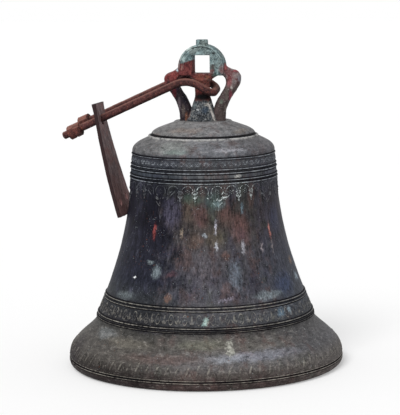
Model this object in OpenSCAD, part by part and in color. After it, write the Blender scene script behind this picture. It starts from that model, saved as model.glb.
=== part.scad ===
// Cast bronze church bell standing on its lip, with a loose iron stirrup in its crown.
// Origin: centre of the mouth, on the plane that the lip rests on. +Z up.
// The crown lies in the XZ plane, and the stirrup hangs out towards -X.
// -Y is the front. Millimetres.

/* [Bell] */
// Radius of the lip at its widest ring
lip_r = 275; // [270:1:280]
// Height of the widest ring above the floor
lip_z = 15; // [13:1:17]
// Inner radius of the flat face that the bell stands on
lip_in_r = 250; // [248:1:252]
// Radius of the waist just under the shoulder bands
waist_r = 146; // [145:1:147]
// How far the waist has flared where it reaches the lower band
waist_flare = 53; // [51:1:55]
// Thickness of the waist wall
wall = 14; // [13:0.5:15]
// Height of the shoulder, where the wall turns in
shoulder_z = 424; // [422:1:426]
// Radius of the ring around the top plate
plate_r = 105; // [103:1:107]
// Height of the ring around the top plate
plate_z = 460; // [459:1:461]
// Height of the pad that carries the crown
head_z = 487; // [486:1:489]
// Radius of that pad
pad_r = 57; // [56:1:60]
// Thickness of the head under the pad
head_t = 24; // [22:1:26]

/* [Crown] */
// Radius of the arched crown plate
arch_r = 46; // [46:1:48]
// Height of the middle of the arched plate
arch_z = 591; // [589:1:591]
// Thickness of the arched plate, front to back
arch_t = 36; // [36:1:38]
// Width of the rectangular window in the plate
window_w = 35; // [32:1:36]
// Height of the window
window_h = 36; // [34:1:37]
// Height of the window's sill
window_z = 580; // [579:1:582]
// Radius of the pillar under the plate
pillar_r = 15.6; // [15.5:0.1:16.5]
// Thickness of a canon, front to back
canon_t = 27; // [25:1:28]
// How much lower the left canon's shoulder is than the right one's
left_drop = 4; // [0:1:6]

/* [Clapper] */
// Height of the bar that the clapper hangs from
pivot_z = 388; // [386:1:390]
// Radius of that bar
bar_r = 8; // [7.5:0.5:8]
// Radius of the clapper's ball
ball_r = 33; // [31:1:34]
// Height of the ball's centre
ball_z = 48; // [46:1:50]
// Height of the clapper's lower end above the floor
flight_z = 10; // [8:1:12]
// Width of the leather strap
strap_w = 36; // [34:1:38]
// Thickness of the leather
leather_t = 6; // [5:0.5:6]

/* [Stirrup] */
// Radius of the round iron rod
rod_r = 7.7; // [7.2:0.1:7.7]
// Distance between the middles of the two legs
leg_span = 62; // [61:0.5:63]
// Where the bend crosses the crown plane, to the right of the bell's axis
cross_x = 24.7; // [24.4:0.1:26]
// Depth of that crossing's middle behind the crown plane
cross_y = 4.2; // [4:0.1:5]
// Height of that crossing
cross_z = 544.5; // [542:0.5:545]
// Angle by which the legs fall towards their threaded ends
lean = 24.2; // [23.5:0.1:24.5]
// Angle by which the rod climbs from the crossing to its knee
climb = 32; // [30:0.5:33]
// Distance from the crossing to the knee's corner
knee_d = 58; // [57:1:59]
// Radius of the knee
knee_r = 50; // [45:1:52]
// Radius of the two corners of the bend
corner_r = 18; // [16:0.5:18]
// Twist of the stirrup about its own legs: the front leg is the lower one
roll = 8.4; // [8:0.1:9.5]
// Angle by which the threaded ends stand back from the crown plane
yaw = 3; // [2.5:0.1:3.2]
// Length of the front leg from the knee's corner
front_len = 282; // [280:1:286]
// Length of the back leg from the knee's corner
back_len = 264; // [263:1:268]
// Width of a nut across its flats
nut_af = 25.5; // [24:0.5:26]
// Thickness of each nut on the front leg
nut_t = 13.5; // [13:0.5:14]
// Thickness of the long nut on the back leg
long_nut_t = 21.5; // [20:0.5:22]

/* [Strap plates] */
// Width of a strap plate
plate_w = 54; // [52:1:55]
// Thickness of a strap plate
plate_t = 8; // [7.5:0.5:8]
// Distance between the two holes of a strap plate
hole_pitch = 170; // [168:1:171]
// Length of a plate beyond the hole at its long end
long_end = 34; // [33:1:36]
// Length of a plate beyond the hole at its short end
short_end = 28; // [27:1:30]
// Radius of the hole that hangs on the rod
hole_r = 10.6; // [10.6:0.1:11]
// Radius of the hole at the free end
free_hole_r = 7; // [6:0.5:8]
// How far the middle of a plate is bowed away from the bell
bow = 4; // [4:0.5:5]
// Angle of the front plate from upright
front_tilt = 11.9; // [11:0.1:11.9]
// Angle of the back plate from upright
back_tilt = 16.7; // [15:0.1:16.8]
// Distance of the front plate down its leg
front_at = 196; // [196:0.5:198]
// Distance of the back plate down its leg
back_at = 214; // [213:0.5:215]

/* [Hidden] */
$fn = 96;

bronze = [0.30, 0.30, 0.30];
verdigris = [0.42, 0.53, 0.51];
red_oxide = [0.38, 0.20, 0.17];
rust = [0.36, 0.21, 0.17];
strap_iron = [0.36, 0.31, 0.29];
leather = [0.25, 0.16, 0.10];

// Heights of the lower band and of the waist's top, then [height, size] of each bead
band_z0 = 100;
band_z1 = 147;
waist_top_z = 382;
waist_power = 1.75;
lower_beads = [[101, 1.2], [109, 1.9], [140, 1.7], [146, 1.7]];
upper_beads = [[377.5, 1.9], [384, 1.6], [397, 1.9], [404, 1.7], [424, 1.5]];
plate_bead = 1.8;
lip_bead = 1.5;
shoulder_r = 142;
// Inside: where the head's underside ends, and where the curve below it meets the waist
vault_r = 96;
vault_z = 412;
curve_steps = 12;

// Turn of the rod at its knee, and how much of the corner the bend's arc takes
knee_turn = lean + climb;
knee_cut = knee_r * tan(knee_turn / 2);
// How far a strap plate's hole hangs below the middle of its rod
hang_gap = hole_r - rod_r - 1.6;
// Clearance of pins, overlap of parts that touch, lap and swelling of a bend, and how far
// the throat stays behind the plate's faces
running_gap = 0.05;
touch = 0.02;
bend_lap = 0.5;
bend_swell = 0.04;
throat_step = 0.4;

// A point of a curve through p0 and p3, drawn towards p1 and p2, with t from 0 to 1
function curve_point(p0, p1, p2, p3, t) =
    p0 * pow(1 - t, 3) + p1 * 3 * t * pow(1 - t, 2) + p2 * 3 * t * t * (1 - t) + p3 * pow(t, 3);

// The whole curve, without its last point
function curve(p0, p1, p2, p3, steps = curve_steps) =
    [for (i = [0:steps - 1]) curve_point(p0, p1, p2, p3, i / steps)];

// Outer radius of the waist: a power of the depth below the shoulder bands
function waist_at(z) =
    waist_r + waist_flare * pow(max(0, waist_top_z - z) / (waist_top_z - band_z1), waist_power);

// Outer radius anywhere between the lower band and the shoulder
function side_at(z) = z < waist_top_z ? waist_at(z)
    : waist_r + (shoulder_r - waist_r) * (z - waist_top_z) / (shoulder_z - waist_top_z);

// A half-round bead of height h that runs round the side at height z
function bead(z, h) =
    [for (a = [-90:30:90]) [side_at(z) + h * cos(a), z + h * sin(a)]];

// Half of the bell's cross-section, as points [radius, height]
function bell_outline() = concat(
    [for (a = [-90:15:0]) [lip_r - lip_z + lip_bead + (lip_z - lip_bead) * cos(a),
                           lip_z - lip_bead + (lip_z - lip_bead) * sin(a)]],
    [for (a = [-90:30:90]) [lip_r - lip_bead + lip_bead * cos(a), lip_z + lip_bead + lip_bead * sin(a)]],
    curve([lip_r - 1, lip_z + 4], [272, 58], [221, 78], [side_at(band_z0) - 0.5, band_z0 - 3]),
    [for (b = lower_beads) each bead(b[0], b[1])],
    [for (i = [1:curve_steps - 1])
        let (z = band_z1 + (upper_beads[0][0] - band_z1) * i / curve_steps) [waist_at(z), z]],
    [for (b = upper_beads) each bead(b[0], b[1])],
    curve([shoulder_r, shoulder_z + 3], [shoulder_r, 442], [125, 449], [plate_r, plate_z - 2.5]),
    [for (a = [-60:30:120]) [plate_r - 1 + plate_bead * cos(a), plate_z + plate_bead * sin(a)]],
    curve([plate_r - 4, plate_z + 1.5], [90, 470], [74, 480], [pad_r + 3, head_z - 3], 6),
    [[pad_r, head_z], [0, head_z], [0, head_z - head_t]],
    curve([vault_r, head_z - head_t], [118, head_z - head_t], [130, 440],
          [shoulder_r - wall, vault_z]),
    [for (i = [0:curve_steps - 1])
        let (z = vault_z - (vault_z - band_z1) * i / curve_steps) [side_at(z) - wall, z]],
    curve([side_at(band_z1) - wall, band_z1], [199, 113], [222, 60], [lip_in_r, 0]),
    [[lip_in_r, 0]]
);

// The bell itself, turned from its outline
module bell_body() {
    color(bronze)
        rotate_extrude()
            polygon(bell_outline());
}

// The round pillar, spread into a cone where it stands on the pad
module pillar() {
    foot_r = 33;
    foot_h = 47;
    top_z = arch_z - 20;
    rotate_extrude()
        polygon(concat(
            [[0, head_z], [foot_r, head_z]],
            curve([foot_r, head_z + 2], [27, head_z + 15], [20.5, head_z + 29],
                  [pillar_r, head_z + foot_h]),
            [[pillar_r, head_z + foot_h], [pillar_r, top_z], [0, top_z]]
        ));
}

// The throat where the pillar widens into the arched plate, flat in front and at the back
module throat() {
    low_z = 560;
    high_z = 577.5;
    reach = 42;
    intersection() {
        rotate_extrude()
            polygon(concat(
                [[0, low_z]],
                curve([pillar_r - 0.1, low_z], [17, 567], [26, 574.5], [reach, high_z]),
                [[reach, high_z], [0, high_z]]
            ));
        translate([-reach - 1, -arch_t / 2 + throat_step, low_z - 1])
            cube([2 * reach + 2, arch_t - 2 * throat_step, high_z - low_z + 2]);
    }
}

// The arched plate, cut off level under its arch
module arch_plate() {
    foot_z = 576;
    intersection() {
        translate([0, arch_t / 2, arch_z])
            rotate([90, 0, 0])
                cylinder(r = arch_r, h = arch_t);
        translate([-arch_r - 1, -arch_t, foot_z])
            cube([2 * arch_r + 2, 2 * arch_t, 2 * arch_r]);
    }
}

// Pillar, throat and arched plate, with the short stub on top and the window through the plate
module crown_head() {
    stub = [24, 18, 14];
    stub_sunk = 5;
    color(verdigris)
        difference() {
            union() {
                pillar();
                throat();
                arch_plate();
                translate([-stub[0] / 2, -stub[1] / 2, arch_z + arch_r - stub_sunk])
                    cube(stub);
            }
            translate([-window_w / 2, -arch_t, window_z])
                cube([window_w, 2 * arch_t, window_h]);
        }
}

// The children as they are, or mirrored to the -X side
module on_side(side) {
    mirror([side < 0 ? 1 : 0, 0, 0])
        children();
}

// Upper edge of a canon from the plate's side to its widest point, with a shoulder at
// [shoulder_x, shoulder_z] and drawn towards a corner at [78.2, corner_z]
function canon_top(plate, pull, shoulder_x, shoulder_z, corner_z) = concat(
    curve(plate, pull, [shoulder_x - 7, shoulder_z + 1.5], [shoulder_x, shoulder_z], 6),
    curve([shoulder_x, shoulder_z], [shoulder_x + 8, shoulder_z - 2], [78.2, corner_z], [77.6, 566], 8)
);

// One canon: a flat bar that leaves the arched plate, turns down and stands on the pad
module canon(top) {
    color(red_oxide)
        difference() {
            translate([0, canon_t / 2, 0])
                rotate([90, 0, 0])
                    linear_extrude(canon_t)
                        polygon(concat(
                            top,
                            curve([77.6, 566], [76.6, 546], [45, 534], [46, head_z], 10),
                            [[46, head_z], [20, head_z]],
                            curve([21, head_z + 18], [25, 534], [46, 546], [47.5, 561], 10),
                            curve([47.5, 561], [48, 571], [42, 576], [34, 576.8], 6),
                            [[34, 576.8], [34, 590]]
                        ));
            pillar();
            throat();
            arch_plate();
        }
}

module left_canon() {
    on_side(-1)
        canon(canon_top([41, 601], [47, 592], 64, 586.6 - left_drop, 579 - left_drop));
}

module right_canon() {
    canon(canon_top([43.5, 605], [48, 592], 60, 588.6, 585));
}

// Iron staple cast into the head, with its level bar along X
module clapper_staple() {
    half_span = 34;
    bend_r = 14;
    sunk = 12;
    shank_top = head_z - head_t + sunk;
    color(rust)
        for (side = [-1, 1])
            on_side(side) {
                translate([-touch, 0, pivot_z])
                    rotate([0, 90, 0])
                        cylinder(r = bar_r, h = half_span - bend_r + touch);
                translate([half_span - bend_r, 0, pivot_z + bend_r])
                    rotate([90, 0, 0])
                        rotate([0, 0, -90])
                            rotate_extrude(angle = 90)
                                translate([bend_r, 0])
                                    circle(r = bar_r);
                translate([half_span, 0, pivot_z + bend_r])
                    cylinder(r = bar_r, h = shank_top - pivot_z - bend_r);
            }
}

// The clapper's hanging: half the gap between the leather's two tails, then the tails'
// length, and the bolts, nuts and cheek plates that clamp them on the clapper's tongue
tail_y = bar_r + running_gap;
tail_h = 74;
bolt_r = 4;
bolt_zs = [pivot_z - 34, pivot_z - 58];
bolt_head_r = 7.5;
bolt_head_t = 5;
bolt_nut_t = 6.5;
bolt_end = 9;
cheek_t = 3;
cheek_h = 46;
cheek_rim = 2;

// Round bars along Y at each bolt's place
module bolt_bars(r, y0, y1) {
    for (z = bolt_zs)
        translate([0, y1, z])
            rotate([90, 0, 0])
                cylinder(r = r, h = y1 - y0);
}

// Leather looped over the staple's bar, with its two tails hanging down
module baldric_strap() {
    outer_r = tail_y + leather_t;
    color(leather)
        difference() {
            union() {
                translate([-strap_w / 2, 0, pivot_z])
                    rotate([0, 90, 0])
                        cylinder(r = outer_r, h = strap_w);
                translate([-strap_w / 2, -outer_r, pivot_z - tail_h])
                    cube([strap_w, 2 * outer_r, tail_h]);
            }
            translate([-strap_w / 2 - 1, 0, pivot_z])
                rotate([0, 90, 0])
                    cylinder(r = tail_y, h = strap_w + 2);
            translate([-strap_w / 2 - 1, -tail_y, pivot_z - tail_h - 1])
                cube([strap_w + 2, 2 * tail_y, tail_h + 1]);
            bolt_bars(bolt_r, -outer_r - 1, outer_r + 1);
        }
}

// Iron cheek plates that clamp the leather's tails, one on each side
module baldric_cheeks() {
    face_y = tail_y + leather_t;
    color(rust)
        for (y = [-face_y - cheek_t, face_y])
            difference() {
                translate([-strap_w / 2 + cheek_rim, y, pivot_z - tail_h + 2 * cheek_rim])
                    cube([strap_w - 2 * cheek_rim, cheek_t, cheek_h]);
                bolt_bars(bolt_r, y - 1, y + cheek_t + 1);
            }
}

// Two bolts through leather, cheeks and tongue, with their heads in front
module baldric_bolts() {
    face_y = tail_y + leather_t + cheek_t;
    color(rust) {
        bolt_bars(bolt_r, -face_y, face_y + bolt_end);
        for (z = bolt_zs)
            translate([0, -face_y, z])
                rotate([90, 0, 0])
                    cylinder(r = bolt_head_r, h = bolt_head_t, $fn = 6);
    }
}

// The nuts of those bolts, at the back
module baldric_nuts() {
    face_y = tail_y + leather_t + cheek_t;
    color(rust)
        for (z = bolt_zs)
            difference() {
                translate([0, face_y + bolt_nut_t, z])
                    rotate([90, 0, 0])
                        cylinder(r = bolt_head_r, h = bolt_nut_t, $fn = 6);
                translate([0, face_y + bolt_nut_t + 1, z])
                    rotate([90, 0, 0])
                        cylinder(r = bolt_r, h = bolt_nut_t + 2);
            }
}

// Forged clapper: a flat tongue, a tapered shaft, the ball and the flight below it
module clapper() {
    tongue_w = 30;
    tongue_top = pivot_z - 20;
    shaft_top = pivot_z - tail_h - 6;
    neck_r = 9;
    flight_r = 13;
    color(rust)
        difference() {
            union() {
                translate([-tongue_w / 2, -bar_r, shaft_top - 12])
                    cube([tongue_w, 2 * bar_r, tongue_top - shaft_top + 12]);
                translate([0, 0, ball_z])
                    cylinder(r1 = 12.5, r2 = neck_r, h = shaft_top - ball_z);
                translate([0, 0, ball_z])
                    sphere(r = ball_r);
                translate([0, 0, flight_z])
                    cylinder(r1 = flight_r, r2 = flight_r - 2, h = ball_z - flight_z);
            }
            bolt_bars(bolt_r, -bar_r - 1, bar_r + 1);
        }
}

// Places its children in the stirrup's own frame: the crossing's middle at the origin
module on_stirrup() {
    translate([cross_x, cross_y, cross_z])
        rotate([0, 0, -yaw])
            rotate(a = roll, v = [cos(lean), 0, sin(lean)])
                children();
}

// Places its children on one leg: origin at the knee's corner, +Z down the leg, +X its upper side
module on_leg(side) {
    on_stirrup()
        translate([-knee_d * cos(climb), side * leg_span / 2, knee_d * sin(climb)])
            rotate([0, -90 - lean, 0])
                children();
}

// A straight run of rod along +Z, with its children at its end. It runs a little way
// into its neighbours, and a bend is upset a hair thicker, as a forged one is.
module rod_run(run) {
    translate([0, 0, -bend_lap])
        cylinder(r = rod_r, h = run + 2 * bend_lap);
    translate([0, 0, run])
        children();
}

// A bend of the rod from +Z towards +X, with its children at its end
module rod_bend(radius, turn) {
    translate([radius, 0, 0]) {
        rotate([90, 0, 0])
            rotate([0, 0, 180 - turn])
                rotate_extrude(angle = turn)
                    translate([radius, 0])
                        circle(r = rod_r + bend_swell);
        rotate([0, turn, 0])
            translate([-radius, 0, 0])
                children();
    }
}

// The chamfered end of a leg
module rod_tip() {
    chamfer = 1.5;
    translate([0, 0, bend_lap])
        cylinder(r1 = rod_r, r2 = rod_r - chamfer, h = chamfer);
}

// The stirrup: a round rod bent into a U, with a knee in both of its legs
module stirrup_rod() {
    color(rust)
        on_stirrup()
            rotate([0, 180 + climb, 0])
                for (side = [-1, 1])
                    rotate([-90 * side, 0, 0])
                        rod_run(leg_span / 2 - corner_r)
                            rod_bend(corner_r, 90)
                                rotate([0, 0, -90 * side])
                                    rod_run(knee_d - corner_r - knee_cut)
                                        rod_bend(knee_r, knee_turn)
                                            rod_run((side < 0 ? front_len : back_len) - knee_cut)
                                                rod_tip();
}

// A strap plate in its own frame: its upper hole at the origin, its length along -X,
// its width along Y, bowed towards +Z
module strap_plate(top_end, foot_end) {
    whole = top_end + hole_pitch + foot_end;
    bow_r = whole * whole / (8 * bow) + bow / 2;
    sweep = 2 * asin(whole / 2 / bow_r);
    middle = top_end - whole / 2;
    color(strap_iron)
        difference() {
            translate([middle, 0, -bow_r + bow * 0.75])
                rotate([-90, 0, 0])
                    translate([0, 0, -plate_w / 2])
                        rotate([0, 0, -90 - sweep / 2])
                            rotate_extrude(angle = sweep, $fn = 720)
                                translate([bow_r - plate_t / 2, 0])
                                    square([plate_t, plate_w]);
            for (hole = [[0, hole_r], [-hole_pitch, free_hole_r]])
                translate([hole[0], 0, -3 * plate_t])
                    cylinder(r = hole[1], h = 6 * plate_t);
        }
}

// Hangs a plate plumb on one leg, so that the top of its hole rests on the rod
module hung_plate(side, at, tilt, top_end, foot_end) {
    on_leg(side)
        rotate([0, 0, roll])
            translate([-hang_gap, 0, at])
                rotate([0, lean - tilt, 0])
                    strap_plate(top_end, foot_end);
}

// The front plate hangs with its long end up, and the back plate the other way round
module front_strap() {
    hung_plate(-1, front_at, front_tilt, long_end, short_end);
}

module back_strap() {
    hung_plate(1, back_at, back_tilt, short_end, long_end);
}

// A hexagon nut of that thickness, with chamfered corners, along +Z
module nut(thick) {
    corner = nut_af / 2 / cos(30);
    chamfer = 2;
    color(rust)
        difference() {
            intersection() {
                cylinder(r = corner, h = thick, $fn = 6);
                union() {
                    cylinder(r1 = corner - chamfer / 2, r2 = corner, h = chamfer / 2);
                    translate([0, 0, chamfer / 2])
                        cylinder(r = corner, h = thick - chamfer);
                    translate([0, 0, thick - chamfer / 2])
                        cylinder(r1 = corner, r2 = corner - chamfer / 2, h = chamfer / 2);
                }
            }
            translate([0, 0, -1])
                cylinder(r = rod_r, h = thick + 2);
        }
}

// Places of the nuts along their legs, and the size of the washer under the back one
jam_at = 242;
back_nut_at = 239;
washer_r = 14.5;
washer_t = 3;

module front_jam_nut() {
    on_leg(-1)
        translate([0, 0, jam_at])
            nut(nut_t);
}

module front_nut() {
    on_leg(-1)
        translate([0, 0, jam_at + nut_t])
            rotate([0, 0, 17])
                nut(nut_t);
}

module back_nut() {
    on_leg(1)
        translate([0, 0, back_nut_at])
            rotate([0, 0, 8])
                nut(long_nut_t);
}

module back_washer() {
    color(rust)
        on_leg(1)
            translate([0, 0, back_nut_at - washer_t])
                difference() {
                    cylinder(r = washer_r, h = washer_t);
                    translate([0, 0, -1])
                        cylinder(r = rod_r, h = washer_t + 2);
                }
}

bell_body();
crown_head();
left_canon();
right_canon();
clapper_staple();
baldric_strap();
baldric_cheeks();
baldric_bolts();
baldric_nuts();
clapper();
stirrup_rod();
front_strap();
back_strap();
front_nut();
front_jam_nut();
back_nut();
back_washer();
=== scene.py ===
import math

import bmesh
import bpy
import numpy as np
from mathutils import Matrix


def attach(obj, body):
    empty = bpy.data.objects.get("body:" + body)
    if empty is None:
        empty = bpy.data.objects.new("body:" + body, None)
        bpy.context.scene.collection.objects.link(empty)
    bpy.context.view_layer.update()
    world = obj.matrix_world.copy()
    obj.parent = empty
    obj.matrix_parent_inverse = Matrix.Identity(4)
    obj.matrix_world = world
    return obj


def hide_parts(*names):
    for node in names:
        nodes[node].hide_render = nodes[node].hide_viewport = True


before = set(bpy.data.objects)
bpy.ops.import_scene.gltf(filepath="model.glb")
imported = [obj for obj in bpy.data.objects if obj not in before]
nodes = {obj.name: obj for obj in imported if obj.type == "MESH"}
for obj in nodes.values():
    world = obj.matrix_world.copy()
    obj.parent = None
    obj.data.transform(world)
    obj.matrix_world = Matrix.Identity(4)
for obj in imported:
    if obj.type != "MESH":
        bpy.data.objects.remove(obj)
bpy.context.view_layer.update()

scene = bpy.context.scene
print("frame loaded:", len(nodes), "nodes")


def tone(red, green, blue):
    # screen byte to scene value: ((c + 0.055) / 1.055) ^ 2.4, or c / 12.92 when dark
    shares = [byte / 255 for byte in (red, green, blue)]
    return tuple(s / 12.92 if s <= 0.04045 else ((s + 0.055) / 1.055) ** 2.4 for s in shares) + (1.0,)


def bezier(first, pullA, pullB, last, count):
    # p0 (1-t)^3 + 3 p1 t (1-t)^2 + 3 p2 t^2 (1-t) + p3 t^3
    t = np.linspace(0, 1, count)[:, None]
    p0, p1, p2, p3 = (np.array(p, float) for p in (first, pullA, pullB, last))
    return p0 * (1 - t) ** 3 + 3 * p1 * t * (1 - t) ** 2 + 3 * p2 * t * t * (1 - t) + p3 * t ** 3


def fullTurn(count):
    # one row of that many equal angles round a full turn
    return np.linspace(0, 2 * math.pi, count, endpoint=False)[None, :]


def unit(vectors):
    # v / |v|
    return vectors / np.linalg.norm(vectors, axis=-1, keepdims=True)


def lengthAlong(points):
    # distance run along a line from its first point to each of its points
    return np.concatenate([[0], np.cumsum(np.linalg.norm(np.diff(points, axis=0), axis=1))])


def superellipse(angle, x, y, power):
    # distance r from the middle to the curve |r cos a / x|^p + |r sin a / y|^p = 1
    return (np.abs(np.cos(angle) / x) ** power + np.abs(np.sin(angle) / y) ** power) ** (-1 / power)


def capped(grid, first, last):
    # one more row at either end, shrunk to a point
    return np.vstack([np.zeros_like(grid[:1]) + first, grid, np.zeros_like(grid[:1]) + last])


def lumps(points, size, seed):
    # smooth random height from -1 to 1: hashed values at the corners of a grid of that size,
    # blended by 3t^2 - 2t^3 along each axis
    place = points / size
    cell = np.floor(place).astype(np.int64)
    t = place - cell
    t = t * t * (3 - 2 * t)
    total = np.zeros(place.shape[:-1])
    for corner in range(8):
        step = np.array([corner & 1, corner >> 1 & 1, corner >> 2 & 1])
        c = cell + step
        h = (c[..., 0] * 73856093) ^ (c[..., 1] * 19349663) ^ (c[..., 2] * 83492791) ^ (seed * 6542989)
        h = ((h ^ (h >> 13)) * 1274126177) & 0xffffffff
        value = ((h ^ (h >> 15)) & 0xffff) / 32767.5 - 1
        total += value * np.prod(np.where(step == 1, t, 1 - t), axis=-1)
    return total


def mound(distance, width):
    # rounded bump: 1 on the line, 0 at that width from it, 3t^2 - 2t^3 between
    t = np.clip(1 - distance / width, 0, 1)
    return t * t * (3 - 2 * t)


def stroke(x, y, x0, y0, x1, y1, width):
    # mound over the distance from a point to the segment (x0, y0)-(x1, y1)
    dx, dy = x1 - x0, y1 - y0
    t = np.clip(((x - x0) * dx + (y - y0) * dy) / (dx * dx + dy * dy), 0, 1)
    return mound(np.hypot(x - x0 - t * dx, y - y0 - t * dy), width)


def leaf(x, y, x0, y0, length, width, turn, vein=0.45):
    # lens of half-width w sin(pi a)^0.8 over its length a, domed across, with a groove as midrib
    c, s = math.cos(math.radians(turn)), math.sin(math.radians(turn))
    a = ((x - x0) * s + (y - y0) * c) / length
    b = (x - x0) * c - (y - y0) * s
    half = width * np.sin(np.pi * np.clip(a, 0, 1)) ** 0.8 + 1e-6
    inside = np.clip(1 - np.abs(b) / half, 0, 1) ** 0.5 * (a > 0) * (a < 1)
    return inside * (1 - vein * mound(np.abs(b), width * 0.3))


def cleanMesh(name, points, faces, layers, sharp, weld):
    # a mesh from millimetres, with its layers; points in one place are welded, or else the faces
    # are turned outward; loose points go, and edges bent by more than `sharp` radians stay hard
    mesh = bpy.data.meshes.new(name)
    mesh.from_pydata((points.reshape(-1, 3) * 0.001).tolist(), [], faces.tolist())
    for label, values in layers.items():
        layer = mesh.attributes.new(label, "FLOAT", "POINT")
        layer.data.foreach_set("value", values.astype(np.float32).ravel())
    work = bmesh.new()
    work.from_mesh(mesh)
    if weld:
        bmesh.ops.remove_doubles(work, verts=work.verts, dist=1e-6)
    bmesh.ops.delete(work, geom=[v for v in work.verts if not v.link_faces], context="VERTS")
    if not weld:
        bmesh.ops.recalc_face_normals(work, faces=work.faces)
    work.to_mesh(mesh)
    work.free()
    mesh.set_sharp_from_angle(angle=sharp)
    mesh.polygons.foreach_set("use_smooth", [True] * len(mesh.polygons))
    return mesh


def surface(name, grid, relief=0.5, along=False, sharp=0.7):
    # a quad between each four neighbours of grid[row, column]; the columns close round, `along`
    # closes the rows too, and rows that shrink to a point are merged
    rows, cols = grid.shape[:2]
    left = np.arange(rows * cols).reshape(rows, cols)
    right = np.roll(left, -1, 1)
    if along:
        quads = np.stack([left, right, np.roll(right, -1, 0), np.roll(left, -1, 0)], -1)
    else:
        quads = np.stack([left[:-1], right[:-1], right[1:], left[1:]], -1)
    layers = {"relief": np.broadcast_to(relief, (rows, cols))}
    return bpy.data.objects.new(name, cleanMesh(name, grid, quads.reshape(-1, 4), layers, sharp, True))


def addPiece(piece, body, slot, material, *hidden):
    # a finished piece rides on its body and stands in for the hidden nodes; its slot is not used
    scene.collection.objects.link(piece)
    piece.data.materials.append(material)
    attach(piece, body)
    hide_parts(*hidden)
    return piece


def modify(piece, kind, **settings):
    # one modifier with the given settings
    modifier = piece.modifiers.new(kind.title(), kind)
    for key, value in settings.items():
        setattr(modifier, key, value)


def turning(axis, degrees):
    # 4x4 turn about an axis through the origin
    return np.array(Matrix.Rotation(math.radians(degrees), 4, axis))


def moving(x, y, z):
    # 4x4 shift by (x, y, z)
    return np.array(Matrix.Translation((x, y, z)))


def placed(matrix, points):
    # the matrix carries every point: R p + t
    return points @ matrix[:3, :3].T + matrix[:3, 3]


class Shade:
    # an output in a node tree; sums, products and the like of it are further nodes
    def __init__(self, owner, socket):
        self.owner = owner
        self.socket = socket

    def join(self, operation, first, second):
        # one Math node over the two
        return self.owner.math(operation, first, second)

    def about(self, size):
        # that much up and down around 0, for a noise around 1/2
        return (self - 0.5) * size

    def least(self, other):
        # the smaller of the two
        return self.join("MINIMUM", self, other)

    def most(self, other):
        # the larger of the two
        return self.join("MAXIMUM", self, other)

    def step(self, low, high, top=1.0):
        # 0 at low, top at high, smooth between
        return self.owner.add("ShaderNodeMapRange", {"interpolation_type": "SMOOTHSTEP"},
                               {"Value": self, "From Min": low, "From Max": high, "To Max": top})

    def near(self, middle, width):
        # 1 at the middle, 0 at that width from it
        return self.join("ABSOLUTE", self - middle, 0.0).step(width, 0.0)


for sign, operation in (("add", "ADD"), ("sub", "SUBTRACT"), ("mul", "MULTIPLY"), ("truediv", "DIVIDE")):
    setattr(Shade, f"__{sign}__", lambda self, other, how=operation: self.join(how, self, other))
    setattr(Shade, f"__r{sign}__", lambda self, other, how=operation: self.join(how, other, self))


class NodeTree:
    # a tree that grows by a node for each call
    def __init__(self, tree):
        self.tree = tree

    def add(self, kind, settings=None, sockets=None, out=0):
        # a new node, set and linked; `stops` are the [place, colour] steps of a ramp
        node = self.tree.nodes.new(kind)
        for key, value in (settings or {}).items():
            if key == "stops":
                ramp = node.color_ramp
                for element, (place, shade) in zip(ramp.elements, (value[0], value[-1])):
                    element.position, element.color = place, shade
                for place, shade in value[1:-1]:
                    ramp.elements.new(place).color = shade
            else:
                setattr(node, key, value)
        for key, value in (sockets or {}).items():
            if isinstance(value, Shade):
                self.tree.links.new(value.socket, node.inputs[key])
            else:
                node.inputs[key].default_value = value
        return Shade(self, node.outputs[out])

    def math(self, operation, first, second):
        # one Math node
        return self.add("ShaderNodeMath", {"operation": operation}, {0: first, 1: second})

    def seen(self):
        # 1 for rays from the camera, from a mirror or through glass, else 0
        rays = [self.add("ShaderNodeLightPath", out=ray)
                for ray in ("Is Camera Ray", "Is Glossy Ray", "Is Transmission Ray")]
        return rays[0].most(rays[1]).most(rays[2])


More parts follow.
